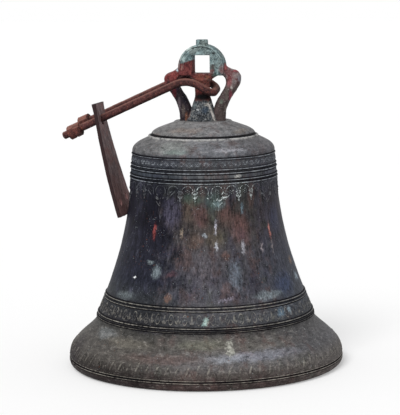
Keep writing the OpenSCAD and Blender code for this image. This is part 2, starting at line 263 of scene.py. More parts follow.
class Finish(NodeTree):
    # one material: its nodes, its shader, and object coordinates in millimetres
    def __init__(self, name, **fixed):
        self.material = bpy.data.materials.new(name)
        self.material.use_nodes = True
        super().__init__(self.material.node_tree)
        self.shader = self.tree.nodes["Principled BSDF"]
        for key, value in fixed.items():
            self.shader.inputs[key.replace("_", " ")].default_value = value
        self.object = self.add("ShaderNodeTexCoord", out="Object")
        self.place = self.add("ShaderNodeVectorMath", {"operation": "SCALE"},
                              {0: self.object, "Scale": 1000.0})
        split = self.add("ShaderNodeSeparateXYZ", {}, {0: self.place})
        self.x, self.y, self.z = (Shade(self, s) for s in split.socket.node.outputs)

    def feed(self, **sockets):
        # links each value to the shader's socket of that name
        for key, value in sockets.items():
            self.tree.links.new(value.socket, self.shader.inputs[key.replace("_", " ")])

    def mix(self, share, first, second):
        # from the first colour to the second; each is a socket or screen bytes
        first, second = (c if isinstance(c, Shade) else tone(*c) for c in (first, second))
        return self.add("ShaderNodeMix", {"data_type": "RGBA"}, {0: share, 6: first, 7: second}, 2)

    def noise(self, size, detail=3.0, rough=0.55, vector=None, bend=0.0):
        # noise whose lumps are about that many millimetres wide
        return self.add("ShaderNodeTexNoise", {}, {"Vector": vector or self.place, "Scale": 1 / size,
                        "Detail": detail, "Roughness": rough, "Distortion": bend}, "Fac")

    def stretched(self, x, y, z):
        # the place with each axis times its factor: a factor under 1 draws noise out along it
        return self.add("ShaderNodeVectorMath", {"operation": "MULTIPLY"}, {0: self.place, 1: (x, y, z)})

    def cracks(self, size):
        # distance to the edges between cells of that size
        return self.add("ShaderNodeTexVoronoi", {"feature": "DISTANCE_TO_EDGE"},
                        {"Vector": self.place, "Scale": 1 / size}, "Distance")

    def plane(self, u, v):
        # a flat place (u, v) for stains
        return self.add("ShaderNodeCombineXYZ", {}, {0: u, 1: v})

    def spotted(self, color, flat, spots, share=1.0):
        # each [u, v, half-width, half-height, tone, strength] is a soft ellipse on that plane
        for u, v, wide, tall, shade, strength in spots:
            away = self.add("ShaderNodeMapping", {}, {"Vector": flat, "Location": (-u / wide, -v / tall, 0),
                                                      "Scale": (1 / wide, 1 / tall, 1)})
            reach = self.add("ShaderNodeVectorMath", {"operation": "LENGTH"}, {0: away}, "Value")
            color = self.mix(reach.step(1.35, 0.35, strength) * share, color, shade)
        return color

    def scaled(self, color, level):
        # the colour times a level that stays above 0.18
        return self.add("ShaderNodeVectorMath", {"operation": "SCALE"}, {0: color, "Scale": level.most(0.18)})

    def layer(self, name):
        # the mesh's own value of that name at each point
        return self.add("ShaderNodeAttribute", {"attribute_name": name}, out="Fac")

    def bumped(self, *heights):
        # heights in millimetres, one Bump node for each (height, strength)
        normal = None
        for height, strength in heights:
            sockets = {"Height": height, "Distance": 0.001, "Strength": strength}
            if normal:
                sockets["Normal"] = normal
            normal = self.add("ShaderNodeBump", {}, sockets, "Normal")
        self.feed(Normal=normal)


viewPoint = {"angle": 11.0, "distance": 3.7471, "height": 0.84837, "pitch": 8.1486, "roll": 0.75,
             "focal": 1898.6, "axisOffset": 4.19, "frameHeight": 415}


def addCamera(s):
    # stands at (D sin a, -D cos a, H), looks down by the pitch at the bell's axis, which it keeps
    # axisOffset pixels right of the middle, and is rolled clockwise
    a, p, r = (math.radians(s[k]) for k in ("angle", "pitch", "roll"))
    level = np.array([-math.sin(a), math.cos(a), 0])
    right = np.array([math.cos(a), math.sin(a), 0])
    ahead = level * math.cos(p) - np.array([0, 0, math.sin(p)])
    up = level * math.sin(p) + np.array([0, 0, math.cos(p)])
    right, up = right * math.cos(r) - up * math.sin(r), right * math.sin(r) + up * math.cos(r)
    ahead, right = (ahead * s["focal"] - right * s["axisOffset"],
                    right * s["focal"] + ahead * s["axisOffset"])
    ahead, right = unit(ahead), unit(right)
    data = bpy.data.cameras.new("camera")
    data.sensor_fit = "VERTICAL"
    data.sensor_height = 36
    data.lens = s["focal"] * 36 / s["frameHeight"]
    camera = bpy.data.objects.new("camera", data)
    turn = Matrix(np.column_stack([right, up, -ahead]).tolist()).to_4x4()
    where = (s["distance"] * math.sin(a), -s["distance"] * math.cos(a), s["height"])
    camera.matrix_world = Matrix.Translation(where) @ turn
    scene.collection.objects.link(camera)
    scene.camera = camera


addCamera(viewPoint)

lighting = {"sky": 0.62, "sunLevel": 0.62, "sunTilt": 42, "sunTurn": -18, "sunSpread": 28, "floorLevel": 0.93}


def addLight(s):
    # an even white world, one wide sun from the front left, and a white floor that keeps a soft shadow
    world = bpy.data.worlds.new("studio")
    scene.world = world
    world.use_nodes = True
    sky = NodeTree(world.node_tree)
    level = sky.add("ShaderNodeMapRange", {}, {"Value": sky.seen(), "To Min": s["sky"], "To Max": 1.0})
    background = sky.tree.nodes["Background"]
    background.inputs["Color"].default_value = (1, 1, 1, 1)
    sky.tree.links.new(level.socket, background.inputs["Strength"])

    sun = bpy.data.lights.new("sun", "SUN")
    sun.energy = s["sunLevel"] * math.pi
    sun.angle = math.radians(s["sunSpread"])
    lamp = bpy.data.objects.new("sun", sun)
    lamp.rotation_euler = (math.radians(s["sunTilt"]), 0, math.radians(s["sunTurn"]))
    scene.collection.objects.link(lamp)

    finish = Finish("paleFloor", Roughness=0.9, Base_Color=(s["floorLevel"],) * 3 + (1,))
    glow = finish.add("ShaderNodeEmission", {}, {"Color": (1, 1, 1, 1), "Strength": 1.0})
    plain = Shade(finish, finish.shader.outputs[0])
    both = finish.add("ShaderNodeMixShader", {}, {0: finish.seen() * 0.3, 1: plain, 2: glow})
    output = finish.tree.nodes["Material Output"]
    finish.tree.links.new(both.socket, output.inputs["Surface"])
    mesh = bpy.data.meshes.new("floor")
    mesh.from_pydata([(-15, -15, -0.0002), (15, -15, -0.0002), (15, 15, -0.0002), (-15, 15, -0.0002)], [],
                     [(0, 1, 2, 3)])
    mesh.materials.append(finish.material)
    floor = bpy.data.objects.new("floor", mesh)
    scene.collection.objects.link(floor)


addLight(lighting)
print("camera, lamps and floor done")


# patina from the lip up, [height, tone], where the bell faces the front, its left and its right; the tones
# also hold painted reflection and shade: the waist darker, darkest on its left, and the bow and dome, which
# face up, lighter
patinaAndPaintedLight = {
    "front": [[0, (60, 48, 47)], [20, (66, 56, 54)], [32, (72, 66, 63)], [56, (103, 102, 104)],
              [76, (93, 89, 85)], [97, (76, 73, 72)], [108, (62, 62, 66)], [125, (66, 68, 73)],
              [147, (78, 77, 82)], [165, (70, 69, 77)], [205, (65, 63, 70)], [270, (66, 62, 63)],
              [300, (64, 57, 54)], [335, (52, 51, 50)], [370, (48, 50, 52)], [382, (82, 84, 87)],
              [402, (80, 82, 85)], [410, (62, 64, 68)], [424, (66, 68, 73)], [432, (97, 99, 105)],
              [487, (119, 118, 119)]],
    "left": [[0, (42, 33, 34)], [30, (44, 40, 38)], [55, (80, 76, 72)], [97, (60, 59, 57)],
             [110, (38, 38, 42)], [135, (38, 40, 44)], [160, (42, 45, 50)], [190, (28, 30, 42)],
             [260, (27, 27, 38)], [300, (16, 15, 26)], [350, (20, 20, 30)], [372, (24, 26, 34)],
             [390, (48, 54, 62)], [424, (48, 50, 58)], [432, (92, 92, 94)], [487, (116, 115, 115)]],
    "right": [[0, (72, 63, 60)], [40, (88, 84, 82)], [60, (82, 81, 84)], [97, (76, 75, 76)],
              [110, (58, 61, 65)], [125, (58, 61, 68)], [147, (62, 66, 75)], [225, (58, 60, 70)],
              [300, (56, 52, 61)], [350, (47, 44, 50)], [390, (60, 62, 72)], [424, (58, 60, 67)],
              [432, (83, 82, 87)], [487, (106, 105, 106)]],
}

# [angle, height, half-width in degrees, half-height, tone, strength] of each stain; a few of them are painted
# light on the bow
stainsAndPaintedLight = [
    [-27, 283, 1.3, 16, (150, 44, 38), 0.9], [64, 277, 1.2, 17, (168, 96, 82), 0.85],
    [64, 250, 0.7, 16, (150, 140, 138), 0.6], [-54, 306, 6, 36, (18, 14, 30), 0.75],
    [-13, 320, 8, 30, (84, 80, 102), 0.55], [0, 329, 6, 22, (92, 70, 58), 0.55],
    [9, 317, 6, 24, (94, 54, 51), 0.5], [18, 322, 6, 26, (58, 68, 57), 0.5],
    [26, 318, 7, 22, (98, 60, 56), 0.5], [37, 290, 8, 30, (100, 62, 60), 0.55],
    [-5, 283, 1.1, 10, (146, 128, 108), 0.65], [4, 270, 6, 16, (88, 68, 54), 0.5],
    [18, 272, 7, 20, (86, 76, 56), 0.55], [19, 294, 0.8, 14, (170, 170, 184), 0.85],
    [11, 279, 2.0, 4, (160, 170, 180), 0.7], [19, 258, 1.0, 10, (176, 180, 190), 0.85],
    [38, 256, 1.5, 14, (168, 168, 178), 0.75], [53, 251, 0.9, 11, (168, 156, 160), 0.75],
    [-27, 226, 3, 4, (130, 144, 148), 0.65], [-21, 209, 3.4, 14, (126, 140, 146), 0.7],
    [-38, 193, 1.2, 2.2, (238, 240, 242), 1.0], [-10, 206, 3.6, 6, (98, 62, 72), 0.5],
    [25, 240, 3.0, 8, (106, 72, 60), 0.5], [-11, 162, 2.4, 8, (112, 74, 54), 0.6],
    [85, 214, 3.0, 8, (140, 112, 88), 0.6], [30, 205, 4.4, 32, (98, 112, 126), 0.55],
    [42, 183, 5, 26, (32, 29, 42), 0.65], [67, 176, 10, 22, (42, 58, 92), 0.65],
    [51, 161, 11, 8, (128, 142, 148), 0.65], [86, 180, 3, 9, (156, 176, 190), 0.75],
    [-43, 158, 9, 9, (112, 122, 126), 0.55], [23, 160, 4.5, 3, (152, 144, 162), 0.8],
    [10, 214, 9, 36, (92, 86, 92), 0.4], [-44, 250, 6, 40, (30, 30, 42), 0.5],
    [74, 300, 8, 30, (44, 52, 78), 0.55], [2, 348, 8, 12, (64, 86, 74), 0.6],
    [17, 346, 9, 15, (64, 84, 80), 0.55], [22, 337, 4.5, 9, (112, 136, 140), 0.6],
    [40, 328, 1.1, 10, (100, 126, 140), 0.65], [11, 122, 1.5, 8, (150, 182, 176), 0.85],
    [56, 127, 3, 9, (96, 126, 148), 0.55], [63, 128, 1.3, 7, (146, 168, 182), 0.65],
    [-29, 76, 15, 9, (116, 110, 98), 0.4], [10, 82, 12, 10, (104, 105, 88), 0.4],
    # on these two lines, [-66, 40] is painted shade at the bow's left limb, and [34, 60] with [19, 58] is a
    # painted highlight on the bow
    [-66, 40, 10, 34, (38, 32, 36), 0.7], [-48, 84, 9, 9, (120, 124, 126), 0.5],
    [34, 60, 22, 8, (124, 127, 142), 0.45], [19, 58, 8, 6, (144, 148, 156), 0.4],
    [22, 74, 1.6, 12, (176, 176, 164), 0.7], [-8, 57, 20, 9, (84, 66, 62), 0.65],
    [-18, 101, 14, 5, (60, 58, 64), 0.6], [-14, 474, 24, 4, (130, 112, 100), 0.45],
    [63, 470, 16, 4, (126, 114, 102), 0.45], [-53, 463, 10, 4, (112, 92, 84), 0.4],
    [-15, 446, 16, 10, (134, 140, 136), 0.45], [-12, 437, 11, 5, (112, 130, 124), 0.5],
    [34, 440, 16, 3, (158, 158, 166), 0.55], [38, 390, 3, 4, (206, 204, 198), 0.8],
    [140, 330, 20, 40, (52, 70, 66), 0.45], [-140, 250, 18, 60, (74, 52, 48), 0.45],
    [158, 200, 14, 50, (84, 88, 94), 0.4], [-100, 180, 20, 30, (80, 66, 58), 0.45],
    [-150, 70, 20, 16, (118, 112, 114), 0.45],
]


def bellBronze():
    # patina and painted reflection by height and facing; each noise n times the tone's level by 1 + k (n -
    # 1/2); stains in ellipses with torn edges, among them a painted highlight and painted shade on the bow,
    # lime runs and specks, painted shade in the grooves, and rubbed tops with a painted highlight
    f = Finish("agedBronze", Specular_IOR_Level=0.05, Metallic=0.0)
    torn = f.noise(24, 5, 0.65)
    fine = f.noise(5, 4, 0.7)
    cloud = f.noise(13, 5, 0.7)
    grit = f.noise(2.8, 4, 0.75)
    hair = f.noise(2.6, 4, 0.7, f.stretched(1, 1, 0.05))
    runs = f.noise(8, 5, 0.65, f.stretched(1, 1, 0.08))
    smear = f.noise(14, 5, 0.7, f.stretched(1, 1, 3.2), bend=0.8)
    wall = (f.z.step(140, 168) * f.z.step(440, 372))
    angle = f.math("ARCTAN2", f.x, 0.0 - f.y) * (180 / math.pi)
    facing = angle + torn.about(50) + runs.about(30)
    height = (f.z + f.noise(40, 3).about(5)) / 490
    ramps = {}
    for side, stops in patinaAndPaintedLight.items():
        levels = [(z / 490, tone(*c)) for z, c in stops]
        ramps[side] = f.add("ShaderNodeValToRGB", {"stops": levels}, {0: height})
    # painted reflection and shade: the left side and the back take the darker left ramp, the front the
    # lighter one
    color = f.mix(facing.step(-22, 8), ramps["left"], ramps["front"])
    color = f.mix(facing.step(34, 66), color, ramps["right"])
    color = f.mix(facing.step(95, 145), color, ramps["left"])
    # brown and olive patches in front, violet ones all round
    patch = f.noise(26, 4, 0.65, f.stretched(1, 1, 0.5))
    centre = facing.step(-24, 4) * facing.step(76, 50)
    color = f.mix(patch.step(0.5, 0.66, 0.5) * centre, color, (82, 60, 56))
    color = f.mix(patch.step(0.46, 0.3, 0.45) * centre, color, (68, 71, 62))
    violet = f.noise(19, 4, 0.65, f.stretched(1, 1, 0.4)).step(0.5, 0.68, 0.4) * wall
    color = f.mix(violet, color, (54, 54, 72))
    flat = f.plane(angle + fine.about(7) + grit.about(3), f.z + torn.about(16) + fine.about(18))
    brush = (hair.step(0.32, 0.62, 0.5) + 0.45).most(1.0 - wall)
    color = f.spotted(color, flat, stainsAndPaintedLight, brush)
    color = f.add("ShaderNodeHueSaturation", {}, {"Saturation": 0.84, "Color": color}, "Color")
    # lime that ran down the waist, and smears along the bow
    color = f.mix(runs.step(0.58, 0.76, 0.4) * hair.step(0.45, 0.65) * wall, color, (112, 114, 124))
    color = f.mix(smear.step(0.56, 0.74, 0.4) * (1.0 - wall), color, (146, 142, 136))
    swing = 1.0 + (hair - 0.5) * wall * 2.4 + (runs - 0.5) * wall * 1.8 + grit.about(2.2)
    color = f.scaled(color, swing + cloud.about(1.9) + (smear - 0.5) * (1.0 - wall) * 2.2)
    specks = f.noise(2.2, 2, 0.5).step(0.68, 0.74, 0.7) * f.noise(30, 3).step(0.46, 0.6)
    color = f.mix(specks, color, (176, 186, 188))
    pits = f.noise(3.6, 2, 0.5).step(0.67, 0.75, 0.7) * f.noise(60, 2).step(0.5, 0.62)
    color = f.mix(pits, color, (116, 68, 44))
    relief = f.layer("relief")
    # painted shade: near black in the grooves and right under the raised tops of the relief
    color = f.mix(relief.step(0.46, 0.05, 0.95), color, (13, 12, 16))
    # tops of the relief lighter: rubbed metal and a painted highlight, strongest on the dome's bead
    rubAndHighlight = f.mix(f.z.step(300, 372), (194, 188, 176), (180, 186, 194))
    rubAndHighlight = f.mix(f.z.step(440, 452), rubAndHighlight, (206, 205, 202))
    rubbedAndHighlit = relief.step(0.56, 0.95) * f.noise(7, 4, 0.7).step(0.34, 0.62)
    rubbedAndHighlit = rubbedAndHighlit * (0.9 - 0.3 * f.z.step(322, 334) * f.z.step(376, 372))
    color = f.mix(rubbedAndHighlit * (f.z.step(440, 452, 0.1) + 0.5), color, rubAndHighlight)
    chalk = relief.step(0.52, 0.8) * f.z.step(325, 340) * f.z.step(382, 372) * grit.step(0.5, 0.6)
    color = f.mix(chalk * facing.step(-14, 2) * facing.step(56, 44), color, (206, 216, 216))
    f.feed(Base_Color=color, Roughness=0.4 + cloud * 0.3 + relief.step(0.4, 0.0) * 0.2)
    f.bumped((cloud * 0.6 + f.noise(3, 4, 0.6) * 0.3, 0.6), (grit * 0.25, 0.6))
    return f.material


# rings are [height, radius], curves [distance from the axis, height] of their ends and pulls, the
# bead (distance, height, radius), chips [angle, height, half-width in degrees, half-height, depth]
casting = {
    "lipRadius": 275.0, "lipHeight": 15.0, "lipInside": 250.0, "lipRing": 1.5,
    "waist": 146.0, "flare": 53.0, "flarePower": 1.75, "waistTop": 382.0, "bandTop": 147.0,
    "shoulder": (142.0, 424.0), "wall": 14.0, "bow": ([272, 59], [221, 78]),
    "lowerRings": [[102, 1.0], [109, 1.8], [140, 1.5], [146, 1.8]],
    "upperRings": [[377.5, 1.9], [384, 1.6], [397, 1.9], [404, 1.7], [424, 1.5]],
    "dome": ([142, 428], [142, 442], [127, 448], [109.6, 456.2]), "domeBead": (107.0, 457.2, 3.1),
    "domeGroove": [[104.6, 459.8, 0.0], [103.6, 460.6, 0.0], [103.0, 463.0, 0.08], [102.5, 464.6, 0.4]],
    "crownFoot": ([101.9, 465.6], [97, 471.5], [84, 476], [60, 484]), "head": 487.0, "headInside": 458.0,
    "vault": ([84, 455], [106, 449], [127, 436], [128, 412]),
    "mouth": ([185, 147], [199, 113], [222, 60], [250, 0]), "columns": 336, "groove": 1.0,
    "chips": [[-66, 14, 3.2, 6, 2.4], [-60, 17, 2.0, 4, 1.8], [-71, 9, 2.5, 5, 2.0], [78, 8, 4.0, 7, 2.2],
              [84, 12, 2.0, 5, 1.6], [40, 5, 2.2, 4, 1.2], [-15, 6, 1.6, 4, 1.0], [150, 10, 3.0, 6, 2.0],
              [-130, 12, 2.4, 6, 1.8]],
}


def sideRadius(z, s=casting):
    # waist + flare ((waistTop - z) / (waistTop - bandTop))^flarePower up to the upper bands, then a
    # straight taper to the shoulder
    z = np.asarray(z, float)
    depth = np.maximum(0, s["waistTop"] - z) / (s["waistTop"] - s["bandTop"])
    low = s["waist"] + s["flare"] * depth ** s["flarePower"]
    rise = (z - s["waistTop"]) / (s["shoulder"][1] - s["waistTop"])
    return np.where(z < s["waistTop"], low, s["waist"] + (s["shoulder"][0] - s["waist"]) * rise)


def plainRows(points):
    # rows [distance from the axis, height, relief] of a face without ornament
    return [[r, z, 0.5] for r, z in points]


def arcRows(middle, z, radius, first, last, count, relief=None):
    # rows (middle + r cos b, z + r sin b) of an arc; relief 0.1 + 0.9 cos b unless it is given
    rows = []
    for b in np.radians(np.linspace(first, last, count)):
        tag = 0.1 + 0.9 * math.cos(b) if relief is None else relief
        rows.append([middle + radius * math.cos(b), z + radius * math.sin(b), tag])
    return rows


def ringRows(z, h, s=casting):
    # half circle of radius h on the side, between two shallow grooves
    cut = s["groove"]
    low, high = z - h - 0.9, z + h + 0.9
    rows = [[sideRadius(low - 0.9), low - 0.9, 0.5], [sideRadius(low) - cut, low, 0.0]]
    rows += arcRows(sideRadius(z), z, h, -90, 90, 7)
    rows += [[sideRadius(high) - cut, high, 0.0], [sideRadius(high + 0.9), high + 0.9, 0.5]]
    return rows


def outerRows(s=casting):
    # the outline from the lip's flat face up to the middle of the head
    lip, ring = s["lipRadius"], s["lipRing"]
    deep = s["lipHeight"] - ring
    foot = [[s["lipInside"], 0, 0.5], [lip - s["lipHeight"] + ring, 0, 0.5]]
    foot += arcRows(lip - s["lipHeight"] + ring, deep, deep, -75, 0, 7, 0.45)
    foot += arcRows(lip - ring, s["lipHeight"] + ring, ring, -90, 90, 7)
    rows = [[lip - 2.6, 18.9, 0.0], [lip - 2.6, 23.4, 0.0]]
    rows += arcRows(lip - 2.2, 21.1, 1.5, -75, 75, 6)
    rows += plainRows(bezier([lip - 1.1, 24.6], *s["bow"], [sideRadius(100) - 0.5, 97], 36))
    for z, h in s["lowerRings"]:
        rows += ringRows(z, h)
    waist = np.concatenate([np.linspace(115, 133, 4), np.linspace(154, 371, 36)])
    rows += plainRows((sideRadius(z), z) for z in waist)
    for z, h in s["upperRings"]:
        rows += ringRows(z, h)
    sides = np.array(sorted(rows, key=lambda row: row[1]))
    grooves = sides[sides[:, 2] == 0, 1]
    crowded = np.sum(np.abs(sides[:, 1:2] - grooves[None, :]) < 0.85, axis=1) + (sides[:, 2] == 0.5) > 2
    rows = foot + sides[~crowded].tolist()
    rows += plainRows(bezier(*s["dome"], 22))
    rows += arcRows(*s["domeBead"], -35, 95, 7, 1.0)
    rows += s["domeGroove"] + plainRows(bezier(*s["crownFoot"], 14))
    head = s["head"]
    rows += [[57.6, head - 1, 0.55], [56.5, head, 0.6], [40, head, 0.5], [20, head, 0.5], [0, head, 0.5]]
    return np.array(rows)


def innerRows(s=casting):
    # the inside from the middle of the head down to the lip, one wall's thickness in
    wall, under = s["wall"], s["headInside"]
    parts = [[[0, under], [40, under], [66, under - 1]], bezier(*s["vault"], 10),
             [[sideRadius(z) - wall, z] for z in np.linspace(400, 160, 18)], bezier(*s["mouth"], 16)[:-1]]
    rows = np.array([p for part in parts for p in part], float)
    return np.column_stack([rows, np.full(len(rows), 0.42)])


def castWobble(points):
    # unevenness of the casting along its normal, never outward: lumps 60 and 17 mm wide
    return 0.42 * lumps(points, 60, 5) + 0.2 * lumps(points, 17, 9) - 0.62


def outward(rows):
    # unit normal of the outline: the tangent (dr, dz) turned to (dz, -dr)
    dr, dz = np.gradient(rows[:, 0]), np.gradient(rows[:, 1])
    size = np.hypot(dr, dz) + 1e-9
    return dz / size, -dr / size


def revolved(radius, z, angle):
    # (r sin a, -r cos a, z): angle 0 faces the front
    r, h, a = np.broadcast_arrays(radius, z, angle)
    return np.stack([r * np.sin(a), -r * np.cos(a), h], -1)


bronze = bellBronze()


def addBellCasting(s):
    # outline turned about the axis, then pushed along its normal by the casting's unevenness;
    # small chips are knocked out of the lip's edge
    rows = np.vstack([innerRows(), outerRows()])
    angle = fullTurn(s["columns"])
    grid = revolved(rows[:, :1], rows[:, 1:2], angle)
    nr, nz = outward(rows)
    push = castWobble(grid)
    push *= np.clip(rows[:, 1] / 3, 0, 1)[:, None] * np.clip(rows[:, 0] / 60, 0, 1)[:, None]
    degrees = np.degrees((angle + math.pi) % (2 * math.pi) - math.pi)
    for turn, level, wide, tall, deep in s["chips"]:
        away = np.hypot((degrees - turn) / wide, (rows[:, 1:2] - level) / tall)
        push -= deep * mound(away, 1.0) * (rows[:, :1] > 262)
    grid = grid + revolved(nr[:, None], nz[:, None], angle) * push[..., None]
    grid[..., 2] = np.maximum(grid[..., 2], 0)
    piece = surface("bellCasting", grid, rows[:, 2:3], sharp=0.9)
    addPiece(piece, "bell", "bronze", bronze, "bell_body")


addBellCasting(casting)
print("bell casting done")


def reliefStrip(name, low, high, step, columns, height, ground, top):
    # the outline between two heights, walked in equal steps, pushed out by height(angle, up) less
    # a little, so that the ground between the ornaments lies under the casting's own face;
    # relief is `ground` there, `top` on the tops, and less right under each top, as painted shade
    line = outerRows()
    line = line[(line[:, 1] >= 14) & (line[:, 0] > 100)]
    plain = line[line[:, 2] == 0.5]
    z = np.linspace(low, high, 400)
    r = np.interp(z, plain[:, 1], plain[:, 0])
    run = lengthAlong(np.column_stack([r, z]))
    up = np.linspace(0, run[-1], int(run[-1] / step) + 1)
    z, r = np.interp(up, run, z), np.interp(up, run, r)
    nr, nz = outward(np.column_stack([r, z]))
    angle = fullTurn(columns)
    base = revolved(r[:, None], z[:, None], angle)
    rise = height(angle, up[:, None], float(r.mean()))
    edge = np.clip(np.minimum(up, up[-1] - up) / step, 0, 1)[:, None]
    rise = rise * edge * (0.8 + 0.2 * lumps(base, 11, 21) + 0.2 * lumps(base, 3.5, 23))
    # painted shade: lower relief right under each raised top
    under = np.clip(np.vstack([rise[3:], rise[-3:]]) - rise, 0, 1)
    push = castWobble(base) + rise - 0.3
    normal = revolved(nr[:, None], nz[:, None], angle)
    front = base + normal * push[..., None]
    back = (base - normal * 3.0)[[-1, 0]]
    tags = ground + (top - ground) * np.clip(rise * 0.8, 0, 1) - ground * 0.8 * under
    tags = np.vstack([0.5 + (tags - 0.5) * edge, np.full((2, columns), 0.5)])
    piece = surface(name, np.vstack([front, back]), tags, along=True, sharp=1.2)
    addPiece(piece, "bell", "bronze", bronze, "bell_body")


def cellsOf(angle, radius, count, start=0.0):
    # millimetres from the middle of the nearest of `count` equal cells, and the cell's number
    share = (angle - math.radians(start)) * count / (2 * math.pi) + 0.5
    number = np.floor(share)
    return (share - number - 0.5) * (2 * math.pi * radius / count), number % count


def friezeHeight(angle, up, radius):
    # a wave stem that rolls into a bud at each bend, with two leaflets
    x, number = cellsOf(angle, radius, 56)
    flip = np.where(number % 2 == 0, 1.0, -1.0)
    y = (up - 8.0) * flip
    stem = mound(np.abs(y - 3.4 * np.cos(math.pi * x / 16.2)), 1.5)
    curl = mound(np.abs(np.hypot(x, y + 1.2) - 3.2), 1.4) * (y < 2.4)
    bud = mound(np.hypot(x, y + 1.4), 2.1)
    leaves = np.maximum(leaf(x, y, 2.0, 0.5, 7.0, 2.1, 125), leaf(x, y, -2.0, 0.5, 7.0, 2.1, -125))
    return 1.6 * np.maximum.reduce([stem * 0.85, curl * 0.85, bud, leaves])


def festoonHeight(angle, up, radius):
    # 32 arches with rosettes, a leaf drop between each two, and at every fourth arch a large
    # pointed palmette between two straight stems, worn away in patches
    down = 44.0 - up
    x, number = cellsOf(angle, radius, 32, 21)
    side = np.abs(x)
    arch = np.where(down < 14, mound(np.abs(np.hypot(x, down - 14) - 11.6), 1.6),
                    mound(np.abs(side - 11.6), 1.5) * (down < 20))
    turn = np.arctan2(x, down - 13.5)
    away = np.hypot(x, down - 13.5)
    petals = mound(np.abs(away - 4.4 + 1.2 * np.cos(6 * turn)), 1.9) * (0.6 + 0.4 * np.cos(6 * turn))
    rosette = np.maximum(mound(away, 2.1), petals)
    xb, _ = cellsOf(angle, radius, 32, 21 + 5.625)
    drop = np.maximum.reduce([
        stroke(xb, down, 0, 6, 0, 27, 1.2), leaf(xb, down, 0, 25, 9, 2.4, 0),
        mound(np.hypot(xb, down - 21), 2.3),
        leaf(np.abs(xb), down, 0.4, 27, 9.0, 2.2, 145), leaf(np.abs(xb), down, 0.4, 19, 8.0, 2.0, 140),
        leaf(np.abs(xb), down, 0.6, 12, 6.5, 1.8, 60)])
    xl, _ = cellsOf(angle, radius, 8, 21)
    sideL = np.abs(xl)
    palmette = np.maximum.reduce([
        stroke(sideL, down, 31, 14, 1, 42, 2.2), 0.6 * stroke(sideL, down, 26, 12.5, 1.5, 34.5, 1.5),
        leaf(sideL, down, 0, 40, 15, 3.2, 180), leaf(sideL, down, 1.5, 34, 16, 2.9, 140),
        leaf(sideL, down, 4.5, 30.5, 16, 2.7, 118), leaf(sideL, down, 9, 25.5, 14, 2.5, 104),
        leaf(sideL, down, 6, 24, 13, 2.2, 150), mound(np.hypot(xl, down - 41.5), 2.8),
        mound(np.hypot(sideL - 14, down - 16), 2.2), mound(np.hypot(sideL - 22, down - 14), 2.0)])
    inside = (down > 21) & (sideL < 36)
    field = (down > 8) & (sideL < 36 - (down - 12) * 1.05)
    arch = np.where((number % 4 == 0) & (down > 18), 0, arch)
    drop = np.where(field | ((sideL < 36) & (down > 12)), 0, drop)
    small = np.maximum(arch, np.where((number % 4 == 0) & inside, 0, rosette * (down < 19.5)))
    place = np.stack(np.broadcast_arrays(angle * radius, up, 0.0 * up), -1)
    torn = np.clip(0.6 + lumps(place, 6, 27), 0.1, 1.15)
    return np.maximum.reduce([small * 1.8, drop * 1.9, palmette * 2.2 * torn * (down > 11)])


def bandHeight(angle, up, radius):
    # a plain egg-and-leaf row that fills the band; every twelfth place holds a lozenge
    x, number = cellsOf(angle, radius, 96)
    y = up - 13.6
    egg = np.maximum(mound(np.abs(np.hypot(x / 4.6, y / 9.6) - 1) * 5, 1.5),
                     mound(np.hypot(x / 1.9, y / 5.6), 1.0))
    stem = np.maximum(leaf(x, y, 0, -10.8, 21.6, 2.9, 0), leaf(np.abs(x), y, 0.8, -10, 12.0, 2.0, 28))
    lozenge = np.maximum(mound(np.abs(np.abs(x) / 4.8 + np.abs(y) / 9.8 - 1) * 4.8, 1.5),
                         mound(np.hypot(x, y), 2.6))
    shape = np.where(number % 2 == 0, egg, stem)
    shape = np.where(number % 12 == 6, lozenge, shape)
    return 1.7 * shape


def lipLeafHeight(angle, up, radius):
    # slanting leaves that stand on the lip in a zigzag, every sixth pair taller, with pearls below
    x, number = cellsOf(angle, radius, 84)
    tall = np.where(number % 6 == 2, 1.3, 1.0)
    y = (up - 8.5) / tall
    pair = np.maximum(leaf(x, y, -8.2, 0, 23, 2.9, 20), 0.8 * leaf(x, y, 8.4, 0, 21, 2.0, -22))
    curl = np.maximum(mound(np.hypot(x - 1.4, y - 20.5), 2.1),
                      mound(np.abs(np.hypot(x + 3.4, y - 19) - 2.8), 1.3))
    bud = np.maximum(leaf(x, y, 0.6, 0, 10, 1.9, 6), mound(np.hypot(np.abs(x) - 7.6, y - 1.2), 2.0))
    xp, _ = cellsOf(angle, radius, 320)
    pearls = mound(np.hypot(xp, up - 4.6), 2.0)
    return 1.7 * np.maximum.reduce([pair, curl * 0.8, bud * 0.8, pearls * 0.75])


# [name, low, high, step, columns, height, relief of the ground, relief of the tops] of each band
reliefBands = [
    ["shoulderFrieze", 406.2, 422.2, 0.8, 1152, friezeHeight, 0.33, 0.98],
    ["festoonBand", 331.5, 375.5, 0.85, 1280, festoonHeight, 0.42, 0.84],
    ["eggAndLeafBand", 112.0, 137.6, 0.85, 1440, bandHeight, 0.42, 0.85],
    ["lipLeafBand", 20.0, 66.0, 1.15, 1512, lipLeafHeight, 0.42, 0.85],
]
for band in reliefBands:
    reliefStrip(*band)
print("relief bands done")


